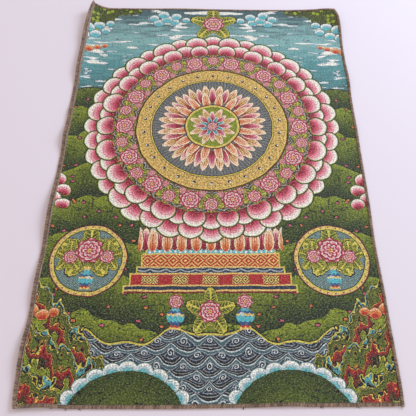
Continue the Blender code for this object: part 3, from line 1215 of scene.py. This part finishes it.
def draw_gold_ring(picture, radius, angle, spot):
    """A ring in mixed golds between two lines, set with gems."""
    gold = "gold"
    for size, shift, level, dye in GOLD_MIX:
        gold = mix(noise(spot, size, size, shift=shift) > level, gold, dye)
    picture = mix(radius < GOLD_RING, picture, bands(radius, *GOLD_RING_BANDS))
    picture = mix(between(radius, GOLD_INSIDE, GOLD_OUTSIDE), picture, gold)
    return lay(picture, ring_of(gem, radius, angle, *RING_GEMS))


def draw_heart(picture, radius, angle, spot):
    """Lotus petals round a green heart with small petals of its own."""
    picture = lay_rings(picture, radius, angle, LOTUS_RINGS)
    picture = mix(radius < HEART_RIM, picture, bands(radius, *HEART_BANDS))
    shaded = noise(spot, 12, 12) * 0.5 + radius * 0.007
    heart = bands(shaded, (0.15, "olive"), (0.45, "lime"), (0.7, "olive"), smooth=True)
    picture = mix(radius < HEART, picture, mix(part(radius * 0.4) < 0.25, heart, "olive"))
    return lay_rings(picture, radius, angle, HEART_RINGS)


print("lotus petals in the mandala:", sum(ring.count for ring in LOTUS_RINGS + HEART_RINGS))


# %% The mandala
def draw_mandala(x, y, spot):
    """The mandala's colour and cover at (x, y); the noise in it is taken at the early place."""
    radius, angle = polar(x, y)
    picture = bands(radius, (0, "forest"), (300, "forest"))
    cover = radius < CLOUD_DISC
    for ring in LOBE_RINGS:
        drawn = ring_of(ring.motif, radius, angle, *ring[1:], uneven=LOBE_UNEVENNESS)
        picture = lay(picture, drawn)
        cover = cover | drawn[1]
    picture = draw_garland(picture, radius, angle, spot)
    picture = draw_gold_ring(picture, radius, angle, spot)
    rays = sine(angle * 110 + radius * 0.04) * 0.5 + noise(spot, 5, 5)
    picture = mix(radius < SLATE_DISC, picture, mix(rays > 0.7, "grey", "smoke"))
    picture = draw_heart(picture, radius, angle, spot)
    picture = lay(picture, use_group(peony, x * 1.7, y * 1.7))
    return picture, cover


print("the mandala's middle stands", MANDALA_UP, "mm above the cloth's")

# %% [markdown]
# The scene behind. Noise gives the drifting sky, the clumps of leaves and the grass.
# Waves are rows of one curling shape, each row shifted by half a wave from the last. A
# rock is all that lies under a lumpy line, and its colours follow the depth below it, so
# that pale rims and dark contour lines run along with its top.

# %% Sky and foliage
SKY_FOOT, SKY_REACH = 150, 300          # mm: the foot and the height of the stops from 0 to 1
SKY_BANDS = ((0.1, "moss"), (0.3, "slate"), (0.6, "teal"), (0.9, "sky"), (1.15, "slate"),
             (1.3, "slate"))
MIST_LINE, MIST, THICK_MIST = 0.60, 0.615, 0.66     # where noise is above these


def draw_sky(y, spot):
    """Sky in drifting bands, with wisps of mist."""
    high = (y - SKY_FOOT) * (1 / SKY_REACH) + noise(spot, 60, 9, 3) * 0.5
    sky = bands(high, *SKY_BANDS, smooth=True)
    mist = noise(spot, 58, 13)
    sky = mix(mist > MIST_LINE, sky, "slate")
    return mix(mist > MIST, sky, mix(mist > THICK_MIST, "mist", "white"))


def draw_foliage(spot):
    """Dark trees: clumps of small leaves."""
    distance, chance = cells(spot, 11, 11)
    leaf = part(distance * 2.6 + noise(spot, 4, 4) * 0.7)
    green = bands(leaf, (0, "olive"), (0.28, "moss"), (0.45, "forest"), (0.75, "ink"), (1, "ink"))
    return mix((chance > 0.72) & (distance < 0.42), green, "lime")


print("sky, upwards:", ", ".join(dye for _, dye in SKY_BANDS))


# %% Meadow and mounds
HILL_HEIGHT = 74                        # mm from one rise of the meadow to the next
HORIZON, SHORE = 176, -344              # mm above the cloth's middle


def draw_meadow(x, y, spot):
    """Rises of grass, dark at the foot, with twigs and small flowers."""
    hill = part(y * (1 / HILL_HEIGHT) + sine(x * (1 / 47)) * 0.22 + noise(spot, 50, 50, 1) * 0.5)
    grain = noise(spot, 4, 2.4, 3)
    green = bands(hill * 0.55 + grain * 0.85, (0.32, "ink"), (0.46, "forest"), (0.62, "moss"),
                  (0.84, "olive"), (1.12, "lime"), smooth=True)
    twigs = abs(noise(spot, 26, 17, 3, shift=40) - 0.5) < 0.016
    green = mix(twigs, green, "forest")
    distance, chance = cells(spot, 30, 22)
    distance = distance + noise(spot, 3, 3) * 0.2 + (chance < 0.45)
    green = mix(distance < 0.27, green, "ink")
    return mix(distance < 0.19, green, mix(chance > 0.72, "orange", "rose"))


def draw_mound(radius, spot):
    """A dark grassy mound with a few cracks."""
    grass = radius * 0.006 + noise(spot, 4, 2.4, 3, shift=70) * 0.7
    green = bands(grass, (0.3, "olive"), (0.72, "moss"), (1.1, "forest"), smooth=True)
    cracks = abs(noise(spot, 34, 22, 3, shift=140) - 0.5) < 0.013
    return mix(cracks, green, "ink")


print("rises in the meadow:", round((HORIZON - SHORE) / HILL_HEIGHT))


# %% Water
WAVE_WIDTH, WAVE_HEIGHT = 42, 19        # mm
CURL_RADIUS, CURL_PITCH = 6, 4          # mm: the curl in a wave, and its spiral's pitch


def draw_water(x, y, spot):
    """Overlapping waves: dark hollows, pale lines and a foaming crest."""
    bent = y + noise(spot, 46, 46, 1) * 22
    layer = whole(bent * (1 / WAVE_HEIGHT))
    across = row(x + layer * (WAVE_WIDTH / 2), WAVE_WIDTH)
    crest = abs(sine(across * (pi / WAVE_WIDTH)))
    lift = bent * (1 / WAVE_HEIGHT) - layer + crest * 0.6
    rise = part(lift)
    colour = bands(rise, (0, "ink"), (0.35, "navy"), (0.7, "slate"), (1, "slate"))
    lines = part(rise * 4 + noise(spot, 20, 6) * 0.7) < 0.2
    colour = mix(lines, colour, "stone")
    colour = mix(rise > 0.93, colour, "mist")
    curl, turn = polar(across, (bent * (1 / WAVE_HEIGHT) - layer - 0.25) * WAVE_HEIGHT)
    spiral = part(turn * (1 / (2 * pi)) + curl * (1 / CURL_PITCH)) < 0.42
    return mix(curl < CURL_RADIUS, colour, mix(spiral, "ink", "mist"))


print("waves across the cloth:", round(CLOTH_WIDTH / MM / WAVE_WIDTH))


# %% Rocks
LAYER_DEPTH, CONTOUR_DEPTH = 88, 22     # mm, measured down from a rock's top


def ridge(picture, x, y, spot, top, seed):
    """A ridge of rock: all that lies below its rounded top, in layers by depth below it."""
    lumps = abs(sine(x * 0.085 + seed)) * 15 + abs(sine(x * 0.21 + seed * 2)) * 5
    depth = top + lumps + noise(spot, 24, 24, 2, shift=seed) * 46 - y
    strata = depth + noise(spot, 12, 30, 2, shift=seed) * 30
    layer = part(strata * (1 / LAYER_DEPTH))
    colour = bands(layer, (0, "mist"), (0.08, "turquoise"), (0.25, "teal"), (0.27, "forest"),
                   (0.48, "olive"), (0.50, "orange"), (0.58, "red"), (0.72, "wine"),
                   (0.75, "moss"), (0.97, "lime"), (1, "lime"), smooth=True)
    outline = part(strata * (1 / CONTOUR_DEPTH))
    colour = mix(outline < 0.28, colour, "straw")
    colour = mix(outline < 0.19, colour, "ink")
    colour = mix(part(strata * 0.14 + x * 0.11) < 0.2, colour, "ink")
    colour = mix(depth < 4.6, colour, "straw")
    colour = mix(depth < 2.2, colour, "ink")
    return mix(depth > 0, picture, colour)


print("contour lines in a layer of rock:", LAYER_DEPTH // CONTOUR_DEPTH)

# %% [markdown]
# The pedestal and the medallions. The pedestal is a stack of steps, each with its own
# row of studs, lattice, waves or panels, under a row of lotus petals. A medallion is a
# hatched disc in a gold ring, with a vase of peonies.

# %% Pedestal
PEDESTAL_STEPS = ((-44, 6), (-69, 8), (-81, 10), (-103, 10))    # mm: a step's top, and its width
PEDESTAL_TOP_HALF, PEDESTAL_DEPTH, PETAL_ROW_HALF = 116, 118, 129
PEDESTAL_BANDS = (
    (-120, "wine"), (-115, "gold"), (-112, "navy"), (-106, "gold"), (-103, "red"), (-84, "gold"),
    (-81, "navy"), (-72, "gold"), (-69, "red"), (-47, "gold"), (-44, "turquoise"), (-37, "ink"),
    (-34, "gold"), (0, "gold"),
)
PETAL_ROWS = ((cool_petal, -36, 0), (petal, -38, 13), (warm_petal, -40, 0))  # foot, moved along


def pedestal_half(y):
    """Half width of the pedestal at a height: it steps out towards its base."""
    half = PEDESTAL_TOP_HALF
    for top, width in PEDESTAL_STEPS:
        half = half + (y < top) * width
    return half


def draw_pedestal(x, y):
    """The steps of a lotus pedestal, and its petals, downwards from y = 0."""
    across, half = abs(x), pedestal_half(y)
    picture = bands(y, *PEDESTAL_BANDS)
    cover = (across < half) & between(y, -PEDESTAL_DEPTH, 0)
    lattice = part((abs(row(x, 22)) + abs(y + 58) * 1.1) * 0.14) < 0.4
    picture = mix(between(y, -69, -47) & lattice, picture, "gold")
    studs = length(row(x, 9), y + 40.5) < 2.2
    picture = mix(studs, picture, "white")
    diamonds = part((abs(row(x, 15)) + abs(y + 93.5)) * 0.2) < 0.42
    picture = mix(between(y, -103, -84) & diamonds, picture, "crimson")
    panels = (abs(row(x, 52)) < 14) & between(y, -101, -86)
    picture = mix(panels, picture, mix(diamonds, "gold", "forest"))
    waves = part(y * 0.16 + abs(sine(x * 0.12)) * 0.7) < 0.4
    picture = mix(between(y, -81, -72) & waves, picture, "stone")
    picture = mix(across > half - 2.5, picture, "straw")
    for drawn_petal, foot, moved in PETAL_ROWS:
        drawn = use_group(drawn_petal, row(x + moved, 26) * 0.8, (y - foot) * 0.9)
        picture = lay(picture, drawn, across < PETAL_ROW_HALF)
        cover = cover | (drawn[1] & (across < PETAL_ROW_HALF))
    return picture, cover


pedestal = motif("pedestal", draw_pedestal)


# %% Medallion
MEDALLION_RADIUS, HATCHED_RADIUS = 69, 58   # mm
MEDALLION_GEMS = 30, 64, 0.4         # how many, mm from the middle, and size
MEDALLION_BANDS = (
    (HATCHED_RADIUS, "ink"), (59.5, "straw"), (61.5, "gold"), (66, "wine"), (67.5, "forest"),
    (69.5, "forest"),
)


def draw_medallion(x, y):
    """A hatched disc in a gold ring, with a vase of three peonies."""
    radius, angle = polar(x, y)
    hatch = part((x * 0.7 + y) * 0.30) < 0.5
    picture = mix(hatch, "slate", "haze")
    picture = mix(radius > HATCHED_RADIUS, picture, bands(radius, *MEDALLION_BANDS))
    picture = lay(picture, ring_of(gem, radius, angle, *MEDALLION_GEMS))
    inside = radius < HATCHED_RADIUS
    picture = lay(picture, use_group(leaves, x * 0.62, (y - 16) * 0.62), inside)
    for side in (-1, 1):
        picture = lay(picture, use_group(leaves, (x + side * 33) * 1.1, (y - 6) * 1.1), inside)
        picture = lay(picture, use_group(peony, (x + side * 31) * 1.45, (y - 6) * 1.45))
    picture = lay(picture, use_group(peony, x * 0.78, (y - 18) * 0.78))
    picture = lay(picture, use_group(vase, x * 1.15, (y + 55) * 1.15))
    return picture, radius < MEDALLION_RADIUS


medallion = motif("medallion", draw_medallion)


# %% [markdown]
# The whole picture, laid down from the back to the front. Its clouds are listed lobe by
# lobe, as a designer would place them on squared paper. A place on the cloth is moved to
# the middle of its thread, which gives the stepped outlines, and wavers a little, as a
# hand does, which keeps the rings from looking turned on a lathe.

# %% Clouds
Lobe = namedtuple("Lobe", "across up size")     # mm from the middle; 1 is a lobe's full size
CORNER_CLOUDS = (
    Lobe(296, 352, 0.50), Lobe(272, 360, 0.46), Lobe(250, 372, 0.40), Lobe(290, 378, 0.52),
    Lobe(266, 390, 0.46), Lobe(242, 396, 0.38),
)
WARM_CLOUDS = (
    Lobe(298, 306, 0.40), Lobe(280, 312, 0.34), Lobe(262, 318, 0.28), Lobe(246, 322, 0.22),
    Lobe(296, -296, 0.46), Lobe(276, -304, 0.38), Lobe(258, -300, 0.30),
)
HIGH_CLOUDS = (
    Lobe(92, 404, 0.42), Lobe(128, 400, 0.46), Lobe(110, 412, 0.50), Lobe(140, 416, 0.40),
    Lobe(88, 422, 0.44), Lobe(118, 428, 0.46), Lobe(64, 410, 0.34),
)
SIDE_CLOUDS = (
    Lobe(294, -40, 0.62), Lobe(280, -64, 0.54), Lobe(298, -84, 0.66), Lobe(276, -94, 0.48),
)


def bank(picture, group, x, y, lobes):
    """Clouds, lobe by lobe, each laid over the last."""
    for lobe_place in lobes:
        share = 1 / lobe_place.size
        drawn = use_group(group, (x - lobe_place.across) * share, (y - lobe_place.up) * share)
        picture = lay(picture, drawn)
    return picture


print("lobes in the clouds:", sum(map(len, (CORNER_CLOUDS, WARM_CLOUDS, HIGH_CLOUDS, SIDE_CLOUDS))))

# %% Where things stand in the picture
WARP_PITCH, WEFT_PITCH = 0.6, 0.5       # mm from thread to thread
HAND = 4.0                              # mm by which the drawn outlines waver
WAVER_SIZE = 30                         # mm from one waver to the next
MOUND_ACROSS, MOUND_UP, MOUND_RADIUS = 128, -478, 96
MOUND_LOBES = 24, 100, 0.50             # how many, mm from the mound's middle, and size
MEDALLION_ACROSS, MEDALLION_UP, PEDESTAL_UP = 214, -206, -150
Posy = namedtuple("Posy", "motif across up share")      # share: 1 over the size
POSIES = (
    Posy(leaves, 0, 398, 0.62), Posy(peony, 0, 398, 0.78), Posy(leaves, 0, -300, 0.8),
    Posy(peony, 0, -300, 1.0), Posy(vase, 58, -330, 1.0), Posy(peony, 58, -282, 1.5),
)
RIDGES = ((1.15, -612, 3.0), (0.75, -566, 17.0), (0.5, -566, 31.0))    # slope, foot, seed
TREE_LINE = 620                         # mm: trees stand outwards and upwards from this line
HILL_LINE, SHORE_PALE, SHORE_DARK = 2.5, 3, 5   # mm: outlines along the hills and the shore
print("posies:", len(POSIES), "ridges:", len(RIDGES))


# %% The whole picture
def threaded(value, pitch, waver):
    """The middle of the thread at a place, moved a little by noise."""
    return (whole(value * (1 / pitch)) + 0.5) * pitch + (waver - 0.5) * HAND


def draw_land(picture, x, y, spot):
    """Trees, meadow, water and rocks, all darkly outlined."""
    trees = x * 0.75 + y + noise(spot, 34, 34, 3) * 90 > TREE_LINE
    picture = mix(trees, picture, draw_foliage(spot))
    hills = HORIZON + sine(x * 0.03) * 18
    picture = mix(y < hills + HILL_LINE, picture, "ink")
    picture = mix(y < hills, picture, draw_meadow(x, y, spot))
    shore = SHORE + sine(x * 0.035) * 12 + sine(x * 0.09 + 2) * 5
    picture = mix(y < shore + SHORE_DARK, picture, "ink")
    picture = mix(y < shore + SHORE_PALE, picture, "straw")
    picture = mix(y < shore, picture, draw_water(x, y, spot))
    for slope, foot, seed in RIDGES:
        picture = ridge(picture, x, y, spot, x * slope + foot, seed)
    return picture


def draw_picture(u, v):
    """The colour at a place on the flat cloth, given in metres."""
    u, v = u * (1 / MM), v * (1 / MM)
    x = threaded(u, WARP_PITCH, noise((u, v), WAVER_SIZE, WAVER_SIZE))
    y = threaded(v, WEFT_PITCH, noise((u, v), WAVER_SIZE, WAVER_SIZE, shift=300))
    spot = abs(x), y
    x, y = later(*spot)
    picture = draw_land(draw_sky(y, spot), x, y, spot)
    picture = bank(picture, warm_lobe, x, y, WARM_CLOUDS)
    picture = bank(picture, pale_lobe, x, y, HIGH_CLOUDS + CORNER_CLOUDS)
    picture = bank(picture, lobe, x, y, SIDE_CLOUDS)
    radius, angle = polar(x - MOUND_ACROSS, (y - MOUND_UP) * 1.15)
    picture = lay(picture, ring_of(pale_lobe, radius, angle, *MOUND_LOBES, uneven=0.3))
    picture = mix(radius < MOUND_RADIUS, picture, draw_mound(radius, spot))
    picture = lay(picture, use_group(pedestal, x, y - PEDESTAL_UP))
    picture = lay(picture, draw_mandala(x, y - MANDALA_UP, spot))
    picture = lay(picture, use_group(medallion, x - MEDALLION_ACROSS, y - MEDALLION_UP))
    for posy in POSIES:
        place = (x - posy.across) * posy.share, (y - posy.up) * posy.share
        picture = lay(picture, use_group(posy.motif, *place))
    return picture


print("wefts in the picture:", round(CLOTH_LENGTH / MM / WEFT_PITCH))

# %% [markdown]
# From the picture to a cloth. The panel's two faces share two node groups. The first holds
# the picture. The second is the weave: it makes each thread a little lighter or darker
# than its neighbour, scatters the odd dark warp thread that shows between the wefts and
# specks of a paler one, lets faint ribs run up the cloth, and raises each thread with a bump.
#
# The reverse of such a cloth shows the picture mirrored and muddled, because every weft
# that isn't needed on the face floats across the back.

# %% Node group of the picture
def picture_group():
    """The picture, from a place on the flat cloth to the colour that shows there."""
    tree, (u, v) = new_group("woven_picture", {"Across": "Float", "Along": "Float"},
                             {"Colour": "Color"})
    return close_group(tree, draw_picture(u, v))


woven_picture = picture_group()
print("woven_picture:", len(woven_picture.nodes), "nodes, with each motif counted as one")


# %% Node group of the weave
MEAN_TONE = 0.80
RIB_TONE, PATCH_TONE, GRAIN_TONE, THREAD_TONE = 0.45, 0.16, 1.3, 0.24    # strength in the tone
DARK_SHARE, DARK_DROP = 0.06, 0.3    # share of the threads that are dark, and how dark
WARP_RISE, WEFT_RISE, THREAD_RISE, WEAVE_BUMP = 0.5, 0.8, 0.4, 0.35
SPECK_LEVEL = 0.64           # where noise is above this, a pale thread shows through
SPECK_SHARE = 0.11           # how much of a pale thread shows through in a speck


def weave_group():
    """The tone of each thread, the specks of pale thread, and the normal."""
    tree, (u, v) = new_group("brocade_weave", {"Across": "Float", "Along": "Float"},
                             {"Tone": "Float", "Speck": "Float", "Normal": "Vector"})
    spot = u * (1 / MM), v * (1 / MM)
    warp, weft = u * (1 / MM / WARP_PITCH), v * (1 / MM / WEFT_PITCH)
    thread, = use_group(random_number, whole(warp), whole(weft))
    crossing = whole(warp) * WARP_PITCH, whole(weft) * WEFT_PITCH
    tone = (thread * THREAD_TONE + (noise(spot, 1.7, 60) - 0.5) * RIB_TONE
            + (noise(spot, 7, 7) - 0.5) * PATCH_TONE
            + (noise(crossing, 2.6, 1.9, 0) - 0.5) * GRAIN_TONE)
    speck = noise(crossing, 2.4, 2.0, 0, shift=500) > SPECK_LEVEL
    tone = tone - (thread > 1 - DARK_SHARE) * DARK_DROP + MEAN_TONE
    height = (abs(sine(warp * pi)) * WARP_RISE + abs(sine(weft * pi)) * WEFT_RISE
              + thread * THREAD_RISE)
    return close_group(tree, tone, speck, bumped(height, WEAVE_BUMP))


brocade_weave = weave_group()
print("brocade_weave:", len(brocade_weave.nodes), "nodes")


# %% What the two faces share
MATTEST, SILKINESS = 0.95, 0.25      # roughness of a dark thread, and what a light one has less
CLOTH_SPECULAR, CLOTH_SHEEN = 0.3, 0.08


def flat_place(material):
    """Wires of the place on the flat cloth, from the panel's own map."""
    split = material.node_tree.nodes.new("ShaderNodeSeparateXYZ")
    feed(split.inputs[0], mapped_place(material.node_tree, FLAT_MAP))
    return Wire(split.outputs[0]), Wire(split.outputs[1])


def toned(colour, tone):
    """A colour made lighter or darker."""
    node = tone.socket.id_data.nodes.new("ShaderNodeVectorMath")
    node.operation = "SCALE"
    feed(node.inputs[0], colour)
    feed(node.inputs["Scale"], tone)
    return Wire(node.outputs[0])


def finish_cloth(shader, colour, tone, speck, normal):
    """Wire a woven colour to a face's shader: the lighter a thread, the silkier it is."""
    colour = mix(speck * SPECK_SHARE, colour, "cream")
    shader.inputs["Specular IOR Level"].default_value = CLOTH_SPECULAR
    shader.inputs["Sheen Weight"].default_value = CLOTH_SHEEN
    feed(shader.inputs["Base Color"], toned(colour, tone))
    feed(shader.inputs["Roughness"], MATTEST - tone * SILKINESS)
    feed(shader.inputs["Normal"], normal)


print("roughness of a thread of mean tone:", round(MATTEST - MEAN_TONE * SILKINESS, 2))


# %% Face and reverse
STRIP_BOTTOM, STRIP_TOP = 7.0, 10.5     # mm from the cloth's outline to the picture
GHOST_SHARE = 0.45                      # how much of the picture shows on the reverse


def strip_edge(v):
    """Where the plain strip along the left side ends, in metres: it widens towards the top."""
    middle = (STRIP_TOP + STRIP_BOTTOM) / 2 * MM - HALF_WIDTH
    return v * ((STRIP_TOP - STRIP_BOTTOM) * MM / CLOTH_LENGTH) + middle


def make_face():
    """The picture, with the plain strip of the web along its left side."""
    face, shader = new_material("brocade_face")
    u, v = flat_place(face)
    colour, = use_group(woven_picture, u, v)
    colour = mix(u < strip_edge(v), colour, "taupe")
    finish_cloth(shader, colour, *use_group(brocade_weave, u, v))
    return face


def make_reverse():
    """Wefts that float across the back, with a ghost of the picture among them."""
    reverse, shader = new_material("brocade_reverse")
    u, v = flat_place(reverse)
    spot = u * (1 / MM), v * (1 / MM)
    colour, = use_group(woven_picture, u, v)
    mingled = bands(noise(spot, 26, 0.9, 1), (0.25, "olive"), (0.4, "taupe"), (0.5, "crimson"),
                    (0.56, "taupe"), (0.64, "teal"), (0.8, "taupe"), smooth=True)
    ghost = mix(noise(spot, 18, 1.4, 1) * GHOST_SHARE, mingled, colour)
    finish_cloth(shader, ghost, *use_group(brocade_weave, u, v))
    return reverse


for finish in (make_face(), make_reverse()):
    panel.data.materials.append(finish)
    print(finish.name, "is slot", len(panel.data.materials) - 1)

# %% [markdown]
# Loose ends. Where the needle thread was cut, at the bottom edge, short tufts of thread
# stick out. They are coloured darker than the oversewing: partly the cut ends and partly
# painted shade under the edge. Each is two or three bent ends, a few millimetres long.

# %% Tufts at the bottom edge
TUFT_PLACES = (-0.2376, -0.2165, -0.1954, 0.0521, 0.1724, 0.2262)
TUFT_LENGTH = 0.0042
TUFT_ENDS = 3
TUFT_SPREAD = 0.0008         # how far a tuft's ends start from its middle
TUFT_INSET, TUFT_START = 0.0012, 0.0009     # in from the cloth's outline, and up
TUFT_STEPS = 6
TUFT_SEED = 4
TUFT_RADIUS = 0.00028
FAN, BEND, SINK = 0.8, 0.35, 0.3            # shares of a tuft's length and height


def make_tufts():
    """Bent ends of thread that point away from the cloth and sink to the table."""
    random = Random(TUFT_SEED)
    ends = []
    for u in TUFT_PLACES:
        for _ in range(TUFT_ENDS):
            start = laid(u + random.uniform(-TUFT_SPREAD, TUFT_SPREAD),
                         -HALF_LENGTH + TUFT_INSET, TUFT_START)
            out = Vector((random.uniform(-FAN, FAN), -1, 0)).normalized()
            bend = Vector((random.uniform(-1, 1), 0, random.uniform(-0.1, 0.1)))
            length = TUFT_LENGTH * random.uniform(0.6, 1.1)
            points = []
            for step in range(TUFT_STEPS + 1):
                t = step / TUFT_STEPS
                point = start + out * length * t + bend * length * BEND * t * t
                point.z = max(point.z * (1 - SINK * t), TUFT_RADIUS * 1.3)
                points.append(point)
            ends.append((points, TUFT_RADIUS, 5))
    tufts = mesh_of_threads("loose_thread_ends", ends)
    tufts.data.materials.append(shaded_loose_finish)
    bpy.context.collection.objects.link(tufts)
    return tufts


loose_ends = make_tufts()
print("loose_thread_ends:", len(TUFT_PLACES) * TUFT_ENDS, "ends")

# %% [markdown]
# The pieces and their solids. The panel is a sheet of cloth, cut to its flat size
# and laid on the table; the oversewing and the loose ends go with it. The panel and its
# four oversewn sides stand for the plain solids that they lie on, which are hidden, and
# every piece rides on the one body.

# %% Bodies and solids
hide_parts("woven_panel")
for side in SIDES:
    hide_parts(side.node)
pieces = [panel, *sewn_sides.values(), loose_ends]
for piece in pieces:
    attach(piece, "root")
print("pieces:", ", ".join(piece.name for piece in pieces))

# %% [markdown]
# The room: a plain pale table top, a broad lamp to the right that leaves a soft shadow
# along the raised left side, and a dim sky all round that fills the shadows.

# %% Table top and light
TABLE_SIZE = 8.0
TABLE_DROP = 0.0002          # the table top lies this far under the cloth
TABLE_COLOUR = (224, 217, 230)
TABLE_ROUGHNESS, TABLE_SPECULAR = 0.9, 0.2
LAMP_POWER = 64.0
LAMP_COLOUR = (0.68, 0.85, 1.0)
LAMP_SIZE = 1.2
LAMP_PLACE = (2.0, 1.4, 1.6)
SKY_COLOUR = (1.0, 0.88, 0.80)
SKY_STRENGTH = 0.785


def make_table():
    """A plain square top, far wider than the cloth."""
    half = TABLE_SIZE / 2
    mesh = bpy.data.meshes.new("table_top")
    mesh.from_pydata([(-half, -half, -TABLE_DROP), (half, -half, -TABLE_DROP),
                      (half, half, -TABLE_DROP), (-half, half, -TABLE_DROP)], [], [(0, 1, 2, 3)])
    table = bpy.data.objects.new("table_top", mesh)
    bpy.context.collection.objects.link(table)
    finish, shader = new_material("pale_table")
    shader.inputs["Base Color"].default_value = linear(*TABLE_COLOUR)
    shader.inputs["Roughness"].default_value = TABLE_ROUGHNESS
    shader.inputs["Specular IOR Level"].default_value = TABLE_SPECULAR
    mesh.materials.append(finish)
    return table


def add_lamp():
    """A broad square lamp, aimed at the middle of the cloth."""
    lamp = bpy.data.lights.new("lamp", "AREA")
    lamp.energy, lamp.color, lamp.size = LAMP_POWER, LAMP_COLOUR, LAMP_SIZE
    holder = bpy.data.objects.new("lamp", lamp)
    holder.location = LAMP_PLACE
    holder.rotation_euler = (-Vector(LAMP_PLACE)).to_track_quat("-Z", "Y").to_euler()
    bpy.context.collection.objects.link(holder)


make_table()
add_lamp()
sky = bpy.data.worlds.new("sky")
sky.use_nodes = True
sky.node_tree.nodes["Background"].inputs["Color"].default_value = (*SKY_COLOUR, 1)
sky.node_tree.nodes["Background"].inputs["Strength"].default_value = SKY_STRENGTH
bpy.context.scene.world = sky
bpy.context.scene.view_settings.view_transform = "Standard"
print("lamp:", round(Vector(LAMP_PLACE).length, 2), "m away")

# %% [markdown]
# The camera. Its place and angles come from the photograph's outline of the cloth, whose
# four sides fix them: it stands just beyond the cloth's lower end, 0.8 m up, and looks
# steeply down.

# %% Camera
CAMERA_PLACE = (-0.01685, -0.55465, 0.79805)
CAMERA_HEADING = radians(-1.364)
CAMERA_PITCH = radians(60.389)       # below the horizon
CAMERA_ROLL = radians(2.430)
CAMERA_LENS, SENSOR_WIDTH = 42.63, 36.0     # mm

eye = bpy.data.cameras.new("camera")
eye.lens, eye.sensor_width = CAMERA_LENS, SENSOR_WIDTH
camera = bpy.data.objects.new("camera", eye)
camera.matrix_world = (Matrix.Translation(CAMERA_PLACE)
                       @ Matrix.Rotation(CAMERA_HEADING, 4, "Z")
                       @ Matrix.Rotation(pi / 2 - CAMERA_PITCH, 4, "X")
                       @ Matrix.Rotation(CAMERA_ROLL, 4, "Z"))
bpy.context.collection.objects.link(camera)
bpy.context.scene.camera = camera
print("camera:", round(Vector(CAMERA_PLACE).length, 2), "m from the middle of the cloth")
